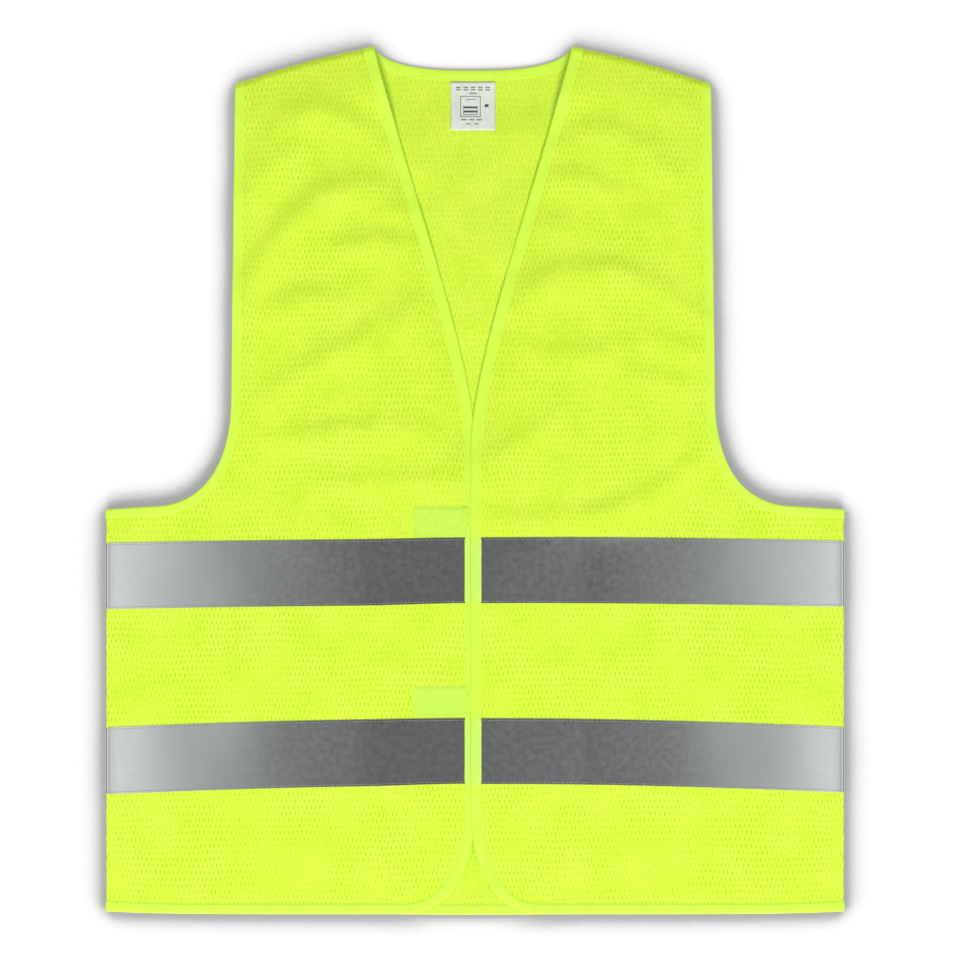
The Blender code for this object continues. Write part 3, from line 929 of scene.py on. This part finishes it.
def reflective_tape():
    """Silver tape: glass beads on a metal film, with soft handling marks."""
    n = Nodes(bpy.data.materials.new("reflective_tape"))
    flat = n.pattern()
    cloud = n.noise(flat, 0.02, 3.0)
    beads = n.noise(flat, 9.0)
    marks = n.noise(flat, 0.22, 4.0, 0.6)
    share = n.remap(cloud * 0.6 + beads * 0.4, 0.35, 0.65, 0.0, 1.0)
    colour = n.mix(share, (0.588, 0.613, 0.590, 1), (0.618, 0.643, 0.620, 1))
    creased = n.bump(marks, 0.004, 0.0004, n.bump(beads, 0.02, 0.00003))
    n.set(Base_Color=colour, Roughness=n.remap(marks, 0.3, 0.7, 0.14, 0.17), Normal=creased)
    n.set(Metallic=0.94)
    return n.owner


def loop_pile():
    """The soft loops of the closure."""
    n = Nodes(bpy.data.materials.new("loop_pile"))
    flat = n.pattern()
    curls = n.noise(flat, 2.2, 4.0, 0.7)
    share = n.remap(curls * 0.6 + n.noise(flat, 0.2) * 0.4, 0.38, 0.6, 0.0, 1.0)
    shade = n.mix(share, (0.54, 0.86, 0.068, 1), (0.60, 0.91, 0.086, 1))
    n.set(Base_Color=shade, Roughness=0.9, Normal=n.bump(curls, 0.5, 0.0003))
    n.set(Sheen_Weight=0.3, Sheen_Roughness=0.5)
    return n.owner


def plain(name, colour, roughness, scale=1.2, variation=0.12):
    """Thread, ink or hooks: one colour with slight variation."""
    n = Nodes(bpy.data.materials.new(name))
    tone = n.noise(n.pattern(), scale, 3.0)
    dark = tuple(c * (1 - variation) for c in colour) + (1,)
    shade = n.mix(n.remap(tone, 0.3, 0.7, 0.0, 1.0), dark, (*colour, 1))
    rough = n.remap(tone, 0.3, 0.7, roughness - 0.08, roughness + 0.08)
    n.set(Base_Color=shade, Roughness=rough, Normal=n.bump(tone, 0.15, 0.0001))
    return n.owner


CLOTH_LOOK = mesh_cloth()
BINDING_LOOK = woven_tape("binding_tape", TAPE_LIME, (0.60, 0.88, 0.05, 1), painted_glow=PAINTED_GLOW_STRENGTH)
SILVER_LOOK = reflective_tape()
LOOP_LOOK = loop_pile()
HOOK_LOOK = plain("hook_tape", (0.70, 0.97, 0.09), 0.45)
THREAD_LOOK = plain("lime_thread", (0.63, 0.92, 0.07), 0.6, 3.0)
GREY_THREAD_LOOK = plain("grey_thread", (0.27, 0.29, 0.23), 0.6, 3.0)
LABEL_LOOK = woven_tape("label_cloth", (0.80, 0.83, 0.76, 1), (0.72, 0.76, 0.68, 1), 0.3)
LABEL_THREAD_LOOK = plain("label_thread", (0.78, 0.80, 0.74), 0.6, 3.0)
INK_LOOK = plain("label_ink", (0.09, 0.10, 0.10), 0.7, 2.0, 0.2)
GREY_INK_LOOK = plain("label_grey_ink", (0.22, 0.24, 0.22), 0.7, 2.0, 0.2)


# ---------------------------------------------------------------- pieces


def finish_piece(piece, holder, nodes=()):
    """Ties a piece to a body, or bakes the place of a piece on a front into its mesh."""
    if holder in FLAPS:
        half = math.pi / 2 * (FOLD_Z - FRONT_Z)
        start = (holder * (FOLD_X + half), 0, FRONT_Z)
        end = (holder * (FOLD_X - half), 0, FRONT_Z)
        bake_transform(piece)
    else:
        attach(piece, holder)
    if nodes:
        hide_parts(*nodes)
    return piece


# How much higher the upper and the lower edge of a front band is sewn, away
# from the middle, than the back's, in millimetres
BAND_SHIFTS = {
    ("upper", -1): (-1.1, -1.7),
    ("lower", -1): (-0.4, -1.4),
    ("upper", 1): (0.6, 0.2),
}
BAND_DRAWN_IN = 1.2 * MM  # how much each edge of a band draws in at its ends


def band_lines(name, start_x, side=0):
    """The upper and lower edges of a band on the pattern, from the middle out."""
    low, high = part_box(f"{name}_band_back")
    drop = (high[1] - low[1]) - BAND_HEIGHT
    x = straight(start_x, 0, ARC_X, 0, 5 * MM)[:, 0]
    x = np.concatenate([x, ARC_X + ROLL_LENGTH * np.arange(1, 17) / 16])
    y = high[1] - drop * (np.clip(x, 0, SEAM_X) / SEAM_X) ** 2
    drawn_in = BAND_DRAWN_IN * smoothstep(x, SEAM_X - 4 * MM, END_X)
    up, down = BAND_SHIFTS.get((name, side), (0.0, 0.0))
    share = smoothstep(x, 0, 90 * MM) * MM
    top = np.stack([x, y - drawn_in + up * share], 1)
    return top, np.stack([x, y - BAND_HEIGHT + drawn_in + down * share], 1)


def build_cloth():
    """The sheets of mesh cloth: two fronts, and a back as key 0."""
    side_line = np.array([(END_X, HEM_Y + EDGE_INSET), (END_X, UNDERARM_Y - EDGE_INSET)])
    armhole = inset(armhole_line(), EDGE_INSET)
    front = inset(front_line(), EDGE_INSET)
    neck = inset(neck_line(), EDGE_INSET)
    front[-1] = side_line[0]
    armhole[0] = side_line[-1]
    sewn = shoulder_line()[1:-1]
    fronts = [front, side_line, armhole, np.concatenate([armhole[-1:], sewn, front[:1]])]
    half = [side_line, armhole, np.concatenate([armhole[-1:], sewn, neck[:1]])]
    other = [mirrored(line) for line in reversed(half)]
    back = half + [neck] + other + [np.array([other[-1][-1], half[0][0]])]
    made = {}
    for key, part in ((1, "left"), (-1, "right"), (0, "back")):
        flat, faces = filled(fronts if key else back, STEP)
        points = laid(flat, 0, key or 1, FRONT if key else BACK)
        name = f"front_cloth_{part}" if key else "back_cloth"
        piece = new_piece(name, points, faces, CLOTH_LOOK, flat)
        thicken(piece, CLOTH)
        panels = [f"{part}_front_panel_{half_name}" for half_name in ("side", "flap")]
        nodes = panels if key else ["back_panel"]
        made[key] = finish_piece(piece, key or BODY, nodes)
    return made


def over_bands(line):
    """1 where a front's binding runs over the ends of the bands."""
    on_band = np.zeros(len(line))
    y = line[:, 1]
    for name in BANDS:
        top, low = band_lines(name, 0)
        edge = smoothstep(y, low[0, 1] - 2 * MM, low[0, 1] + 2 * MM)
        edge = edge * (1 - smoothstep(y, top[0, 1] - 2 * MM, top[0, 1] + 2 * MM))
        on_band = on_band + edge * (line[:, 0] < 20 * MM)
    return on_band


def build_bindings():
    made = {1: [], -1: [], 0: []}
    around = around_section(BINDING_WIDTH)
    front = front_line()
    armhole = armhole_line()
    on_band = over_bands(front)
    for side, part in SIDE_NAMES.items():
        rings = binding_rings(front, BINDING_WIDTH, side, FRONT, 0.36 * MM * on_band)
        name = f"front_binding_{part}"
        piece = swept(name, rings, BINDING_LOOK, False, lengths(front), around)
        layer = piece.data.attributes.new("over_tape", "FLOAT", "POINT")
        tint = np.repeat(on_band * 0.6, rings.shape[1])
        layer.data.foreach_set("value", tint.astype(np.float32))
        nodes = [f"{part}_front_{edge}_binding" for edge in ("edge", "neck", "hem")]
        made[side].append(finish_piece(piece, side, nodes))
        upper = binding_rings(armhole, ARMHOLE_BINDING_WIDTH, side, FRONT)
        lower = binding_rings(armhole, ARMHOLE_BINDING_WIDTH, side, BACK)[::-1]
        rings = np.concatenate([upper, lower])
        along = np.tile(lengths(armhole), 2)
        section = around_section(ARMHOLE_BINDING_WIDTH)
        name = f"armhole_binding_{part}"
        piece = swept(name, rings, BINDING_LOOK, True, along, section)
        nodes = [f"{part}_armhole_binding_{face}" for face in ("front", "back")]
        made[0].append(finish_piece(piece, BODY, nodes))
    x = straight(-END_X, HEM_Y, END_X, HEM_Y)[:, 0]
    end = np.linspace(ARC_X, END_X, 13)
    x = np.concatenate([-end[::-1], x[np.abs(x) < ARC_X], end])
    hem = np.stack([x, np.full(len(x), HEM_Y)], 1)
    for name, line in (("neck", neck_line()), ("hem", hem)):
        rings = binding_rings(line, BINDING_WIDTH, 1, BACK)
        piece = swept(f"{name}_binding", rings, BINDING_LOOK, False, lengths(line), around)
        made[0].append(finish_piece(piece, BODY, [f"back_{name}_binding"]))
    return made


def build_bands():
    made = {1: [], -1: [], 0: []}
    for name in BANDS:
        for side, part in SIDE_NAMES.items():
            top, low = band_lines(name, 5.0 * MM, side)
            piece = band_strip(f"{name}_band_front_{part}", top, low, side, FRONT)
            nodes = [f"{name}_band_{part}_{half}" for half in ("side", "flap")]
            made[side].append(finish_piece(piece, side, nodes))
        top, low = (both_halves(edge) for edge in band_lines(name, 0))
        piece = band_strip(f"{name}_band_back_tape", top, low, 1, BACK)
        made[0].append(finish_piece(piece, BODY, [f"{name}_band_back"]))
    return made


PATCH_MARGIN = 1.6 * MM  # from a patch's edge to its stitches
PATCH_VALLEY = 0.16 * MM  # how deep they press it
PATCH_ROUND_OFF = 0.035  # how much its edges draw in at its corners


def over_binding(rows):
    """How high the loops lie: on the cloth, and on its binding at the edge."""
    step = smoothstep(rows[:, 0], BINDING_WIDTH - 1.6 * MM, BINDING_WIDTH + 0.2 * MM)
    return CLOTH_TOP + (BINDING_TOP_LIFT - CLOTH_TOP) * (1 - step)


def under_cloth(rows):
    return np.full(len(rows), -CLOTH_TOP)


def patch_plate(name, centre, half, lift, side, look, fuzz):
    """A patch of tape on a front, pressed in where it is sewn."""
    step = 0.6 * MM
    counts = np.maximum(np.round(half * 2 / step).astype(int), 8)
    grid = unit_grid(counts)
    corner = np.clip(np.abs(grid[..., ::-1]) - 0.8, 0, 0.2) ** 2 * 25
    rows = (centre + grid * half * (1 - PATCH_ROUND_OFF * corner)).reshape(-1, 2)
    rim = np.min((1 - np.abs(grid)) * half, axis=-1)
    crown = PATCH * np.sqrt(np.clip(rim / (0.8 * MM), 0, 1)) * 0.8
    height = crown - PATCH_VALLEY * np.exp(-(((rim - PATCH_MARGIN) / (0.45 * MM)) ** 2))
    if fuzz:
        noise = np.random.default_rng(11).uniform(-1, 1, rim.shape)
        height = height + fuzz * noise * smoothstep(rim, 1.6 * MM, 2.4 * MM)
    base = lift(rows)
    top = laid(rows, base + np.sign(base.mean()) * height.ravel(), side, FRONT)
    return plate(name, top, laid(rows, base, side, FRONT), counts, look, rows)


def sewn_patch(name, kind, lift, side, look, fuzz=0.0, reach=None):
    """A patch the size of its CAD node with its stitches, and where it lies."""
    low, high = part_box(f"{kind}_patch")
    x = np.sort(np.abs([low[0], high[0]]))
    if reach is not None:
        x[0] = reach
    centre = np.array([x.mean(), (low[1] + high[1]) / 2])
    half = np.array([x[1] - x[0], high[1] - low[1]]) / 2
    patch = patch_plate(name, centre, half, lift, side, look, fuzz)
    w, h = half - PATCH_MARGIN
    corners = np.array([(-w, -h), (w, -h), (w, h), (-w, h), (-w, -h)]) + centre
    line = resampled(corners, 1.2 * MM)
    face = int(np.sign(lift(line).mean()))
    above = face * (PATCH * 0.8 - 0.05 * MM)
    stitches = stitch_row(
        f"{kind}_stitches", line, lambda rows: lift(rows) + above, side, FRONT, THREAD_LOOK, face
    )
    finish_piece(patch, FLAPS[side], [f"{kind}_patch"])
    finish_piece(stitches, FLAPS[side])
    return [patch, stitches], centre, half


HOOK_SHAPE = np.array([(0, 0), (0.0, -0.28), (0.05, -0.46), (0.2, -0.54), (0.34, -0.45)]) * MM
HOOK_RADII = np.array([0.11, 0.09, 0.08, 0.075, 0.06]) * MM


def hook_rings(centre, half):
    """Rings round every hook of a patch, as pattern x, y and lift."""
    pitch = 1.35 * MM
    reach = half - 2.6 * MM
    turn = 2 * math.pi * np.arange(5)[:, None] / 5
    rings = []
    for row, y in enumerate(np.arange(-reach[1], reach[1] + pitch / 2, pitch)):
        for x in np.arange(-reach[0], reach[0] + pitch / 2, pitch):
            path = np.zeros((5, 3))
            path[:, 0] = centre[0] + x
            path[:, 1] = centre[1] + y + (1 if row % 2 else -1) * HOOK_SHAPE[:, 0]
            path[:, 2] = -CLOTH_TOP - PATCH * 0.7 + HOOK_SHAPE[:, 1]
            run = np.gradient(path, axis=0)
            run /= np.linalg.norm(run, axis=1)[:, None]
            across = np.cross(run, (0.31, 0.17, 0.93))
            across /= np.linalg.norm(across, axis=1)[:, None]
            other = np.cross(run, across)
            for n, radius in enumerate(HOOK_RADII):
                round_it = across[n] * np.cos(turn) + other[n] * np.sin(turn)
                rings.append(path[n] + radius * round_it)
    return np.array(rings)


def build_patches():
    """Loops on the outside of the right front, and hooks under the left one."""
    made = {1: [], -1: [], 0: []}
    for name in BANDS:
        loops, *_ = sewn_patch(
            f"{name}_loops", f"{name}_loop", over_binding, -1, LOOP_LOOK, 0.10 * MM, 3.4 * MM
        )
        made[-1] += loops
        base, centre, half = sewn_patch(
            f"{name}_hook_base", f"{name}_hook", under_cloth, 1, HOOK_LOOK
        )
        rings = hook_rings(centre, half)
        points = rings.reshape(-1, 3)
        real = laid(points[:, :2], points[:, 2], 1, FRONT).reshape(rings.shape)
        hooks = threads(f"{name}_hooks", real, len(HOOK_RADII), HOOK_LOOK, points[:, :2])
        made[1] += base + [finish_piece(hooks, FLAPS[1])]
    return made


LABEL = 0.28 * MM
LABEL_LIFTS = (0.75 * MM, 1.9 * MM)  # off the back cloth, at its top and low edge
LABEL_CURL = 0.35 * MM
INK = 0.06 * MM
INK_LIFT = 0.19 * MM

# Printed bars of the label, by their middle and size in millimetres: a frame
# with some lines in it and a block beside it, and grey rows above and below
BLACK_BARS = (
    [(-2.0, y, 15.4, 0.45) for y in (7.6, -8.2)]
    + [(x, -0.3, 0.45, 16.2) for x in (-9.5, 5.5)]
    + [(-2.0, y, 10.4, 1.5) for y in (-1.0, -4.2)]
    + [(-2.0, 5.2, 7.0, 0.4), (-2.0, -6.6, 10.4, 0.4)]
    + [(x, -3.2, 0.4, 7.2) for x in (-7.2, 3.2)]
    + [(10.4, 0.4, 3.0, 2.2)]
)
GREY_BARS = (
    [(x, y, 3.4, 0.9) for y in (14.5, 12.6) for x in (-11.2, -5.6, 0.0, 5.6, 11.2)]
    + [(0.0, 9.9, 6.0, 0.8)]
    + [(x, -10.6, 4.2, 0.9) for x in (-7.0, -1.2, 4.6)]
    + [(x, -13.8, 3.6, 0.8) for x in (-3.6, 2.6)]
)


def label_lift(rows):
    """How far inside the back cloth, as a negative lift, the label lies."""
    low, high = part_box("neck_label")
    share = np.clip((high[1] - rows[:, 1]) / (high[1] - low[1]), 0, 1)
    curl = LABEL_CURL * np.sin(share * math.pi) * np.cos(rows[:, 0] / high[0] * 2.2)
    top, end = LABEL_LIFTS
    return -(top + (end - top) * share**1.5 + curl)


def label_sheet(name, blocks, lift, look, thickness, nodes=()):
    """Thin blocks on the label, each given by its middle, half size and counts."""
    rows = []
    faces = []
    for centre, half, counts in blocks:
        faces += (net(*counts) + sum(map(len, rows))).tolist()
        rows.append((centre + unit_grid(counts) * half).reshape(-1, 2))
    rows = np.concatenate(rows)
    piece = new_piece(name, laid(rows, label_lift(rows) - lift, 1, BACK), faces, look, rows)
    thicken(piece, thickness)
    return finish_piece(piece, "label_flap", nodes)


def build_label():
    low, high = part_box("neck_label")
    half = np.array([(high[0] - low[0]) / 2, (high[1] - low[1]) / 2])
    centre = np.array([0.0, (low[1] + high[1]) / 2])
    blocks = [(centre, half, (24, 26))]
    label = label_sheet("neck_label_cloth", blocks, 0, LABEL_LOOK, LABEL, ["neck_label"])
    for shade, bars, look in (("black", BLACK_BARS, INK_LOOK), ("grey", GREY_BARS, GREY_INK_LOOK)):
        blocks = []
        for x, y, *size in np.array(bars) * MM:
            counts = [max(int(length / (1.2 * MM)), 1) for length in size]
            blocks.append((centre + (x, y), np.array(size) / 2, counts))
        label_sheet(f"neck_label_print_{shade}", blocks, INK_LIFT, look, INK)
    y = high[1] - 1.3 * MM
    line = straight(-half[0] + 1.2 * MM, y, half[0] - 1.2 * MM, y, 1.2 * MM)
    row = stitch_row(
        "neck_label_stitches", line, lambda rows: label_lift(rows) - 0.16 * MM, 1, BACK,
        LABEL_THREAD_LOOK, -1,
    )
    finish_piece(row, BODY)


def build_stitches():
    """The rows of stitches along every binding, on both faces, and along the bands."""
    made = {1: [], -1: [], 0: []}
    front = inset(front_line(), BINDING_WIDTH - STITCH_MARGIN)
    armhole = inset(armhole_line(), ARMHOLE_BINDING_WIDTH - STITCH_MARGIN)
    neck = inset(neck_line(), BINDING_WIDTH - STITCH_MARGIN)
    hem = straight(-END_X, HEM_Y, END_X, HEM_Y) + (0, BINDING_WIDTH - STITCH_MARGIN)
    rows = []
    for side, part in SIDE_NAMES.items():
        rows.append((f"front_stitches_{part}", front, side, FRONT, side))
        for layer, face in ((FRONT, "front"), (BACK, "back")):
            rows.append((f"armhole_stitches_{part}_{face}", armhole, side, layer, BODY))
    rows += [("neck_stitches", neck, 1, BACK, BODY), ("hem_stitches", hem, 1, BACK, BODY)]
    for name, line, side, layer, holder in rows:
        for face_name, face in (("outside", 1), ("inside", -1)):
            lift = 0.58 * MM * face
            row = stitch_row(f"{name}_{face_name}", line, lift, side, layer, THREAD_LOOK, face)
            made[0 if holder == BODY else side].append(finish_piece(row, holder))
    for name in BANDS:
        for key, part in ((1, "left"), (-1, "right"), (0, "back")):
            start_x = BINDING_WIDTH + FRONT_X + 0.3 * MM if key else 0
            for edge, line, up in zip(("top", "low"), band_lines(name, start_x, key), (-1, 1)):
                line = (line if key else both_halves(line)) + (0, up * STITCH_MARGIN)
                row = stitch_row(
                    f"{name}_band_stitches_{part}_{edge}", line, TAPE_LIFT + TAPE + 0.04 * MM,
                    key or 1, FRONT if key else BACK, GREY_THREAD_LOOK,
                )
                made[key].append(finish_piece(row, key or BODY))
    return made


SEAM_RADIUS = 0.55 * MM
SEAM_PITCH = 1.6 * MM
SEAM_INSET = 0.35 * MM


def seam_cord(name, line):
    """An overlocked seam between front and back: a cord wound with thread."""
    line = resampled(line, SEAM_PITCH / 4)
    along = lengths(line)
    swell = SEAM_RADIUS * (0.88 + 0.12 * np.cos(2 * math.pi * along / SEAM_PITCH))
    turns = 2 * math.pi * np.arange(8) / 8
    rings = np.zeros((len(line), 8, 3))
    for n, turn in enumerate(turns):
        rings[:, n, :2] = line - inward(line) * (swell * math.cos(turn))[:, None]
        rings[:, n, 2] = (FRONT_Z + BACK_Z) / 2 + swell * 1.25 * math.sin(turn)
    return swept(name, rings, THREAD_LOOK, False, along, SEAM_RADIUS * turns)


def build_seams():
    made = []
    for side, part in SIDE_NAMES.items():
        edge_x = SEAM_X + float(fuller(SEAM_X, side)) - SEAM_INSET
        edge = np.array([(edge_x, HEM_Y + 1.2 * MM), (edge_x, UNDERARM_Y - 1.2 * MM)])
        x = np.linspace(SHOULDER[0, 0] - 0.5 * MM, SHOULDER[-1, 0] + 0.5 * MM, 20)
        shoulder = np.stack([x, np.polyval(SHOULDER_FIT, x)], 1)
        shoulder = shoulder - shoulder_normal(x) * (CLOTH_CAD / 2 + SEAM_INSET)
        for name, line in (("side", edge), ("shoulder", shoulder)):
            cord = seam_cord(f"{name}_seam_{part}", line * (side, 1))
            made.append(finish_piece(cord, BODY))
    return made


def declare_sheets(cloth):
    """Works out how big each sheet of mesh cloth was cut, but passes it nowhere."""
    side = np.array([(END_X, HEM_Y), (END_X, UNDERARM_Y)])
    half = [side, armhole_line(), shoulder_line()]
    front = np.concatenate(half + [front_line()])
    neck = neck_line()
    back = np.concatenate(half + [neck[: len(neck) // 2], np.array([(0, HEM_Y)])])
    for key, piece in cloth.items():
        x, y = (front if key else back).T
        area = abs(np.dot(x, np.roll(y, -1)) - np.dot(y, np.roll(x, -1))) / 2
        width = END_X - FRONT_X if key else 2 * END_X
        area = area if key else 2 * area


# ---------------------------------------------------------------- studio


def build_floor():
    """A plain pale floor that glows, with a painted shadow where the vest closes it in and painted
    light under the vest.
    """
    bpy.ops.mesh.primitive_plane_add(size=60, location=(0, 0, -0.4 * MM))
    floor = bpy.context.object
    floor.name = "floor"
    n = Nodes(bpy.data.materials.new("floor"))
    openness = n.add("AmbientOcclusion", {"Distance": 0.030}, "AO", samples=12)
    # Painted shadow: the floor's glow and colour darken where the vest hems it in
    near = n.remap(openness, 0.60, 0.955, 0.0, 1.0, smooth=False)
    level = n.remap(near**2.6, 0.0, 1.0, 0.39, 1.0, smooth=False)
    # Painted light: the floor glows brighter right under the vest
    under = n.remap(openness, 0.04, 0.14, 0.70, 0.0)
    n.set(Base_Color=n.mix(level, (0, 0, 0, 1), (0.16, 0.16, 0.161, 1)), Roughness=0.9)
    n.set(Emission_Color=(1.0, 1.0, 1.0, 1), Emission_Strength=level * 0.86 + under)
    floor.data.materials.append(n.owner)


ROOM_LEVEL = 0.55  # low down, all round
BACKDROP_LEVEL = 1.0  # where the camera looks past the floor


def build_light():
    """A soft room that is darkest overhead, and one large lamp."""
    world = bpy.data.worlds.new("studio")
    bpy.context.scene.world = world
    n = Nodes(world, "Background")
    x, _, z = n.split(n.add("TexCoord", {}, "Generated"))
    aside = n.math("ABSOLUTE", x)
    overhead = n.remap(aside, 0.063, 0.20, 0.065, 1.25) + n.remap(aside, 0.34, 0.55, 0.0, -0.95)
    room = n.mix(n.remap(z, 0.1, 0.45, 0.0, 1.0), ROOM_LEVEL, overhead, "FLOAT")
    seen = n.add("LightPath", {}, "Is Camera Ray")
    n.set(Strength=n.mix(seen, room, BACKDROP_LEVEL, "FLOAT"), Color=(0.97, 0.985, 1.0, 1))
    data = bpy.data.lights.new("key", "AREA")
    data.size = 1.3
    data.energy = 205
    data.color = (1.0, 0.985, 0.95)
    key = bpy.data.objects.new("key", data)
    key.location = (0.1, -4.0, 2.9)
    key.rotation_euler = (-key.location).to_track_quat("-Z", "Y").to_euler()
    bpy.context.collection.objects.link(key)


def build_camera():
    """Straight above, as in the photograph."""
    data = bpy.data.cameras.new("camera")
    data.sensor_width = 36
    data.lens = 100
    view_width = 732.9 * MM
    camera = bpy.data.objects.new("camera", data)
    camera.location = (5.3 * MM, 0, FRONT_Z + view_width * data.lens / data.sensor_width)
    bpy.context.collection.objects.link(camera)
    bpy.context.scene.camera = camera


def main():
    hem_end = np.array([(END_X, HEM_Y)])
    outline = np.concatenate([front_line(), hem_end, armhole_line(), shoulder_line()])
    for side in SIDE_NAMES:
        settle(side, outline)
    cloth = build_cloth()
    bindings = build_bindings()
    bands = build_bands()
    patches = build_patches()
    stitches = build_stitches()
    seams = {1: [], -1: [], 0: build_seams()}
    build_label()
    declare_sheets(cloth)
    build_floor()
    build_light()
    build_camera()
    bpy.context.scene.view_settings.view_transform = "Standard"


main()
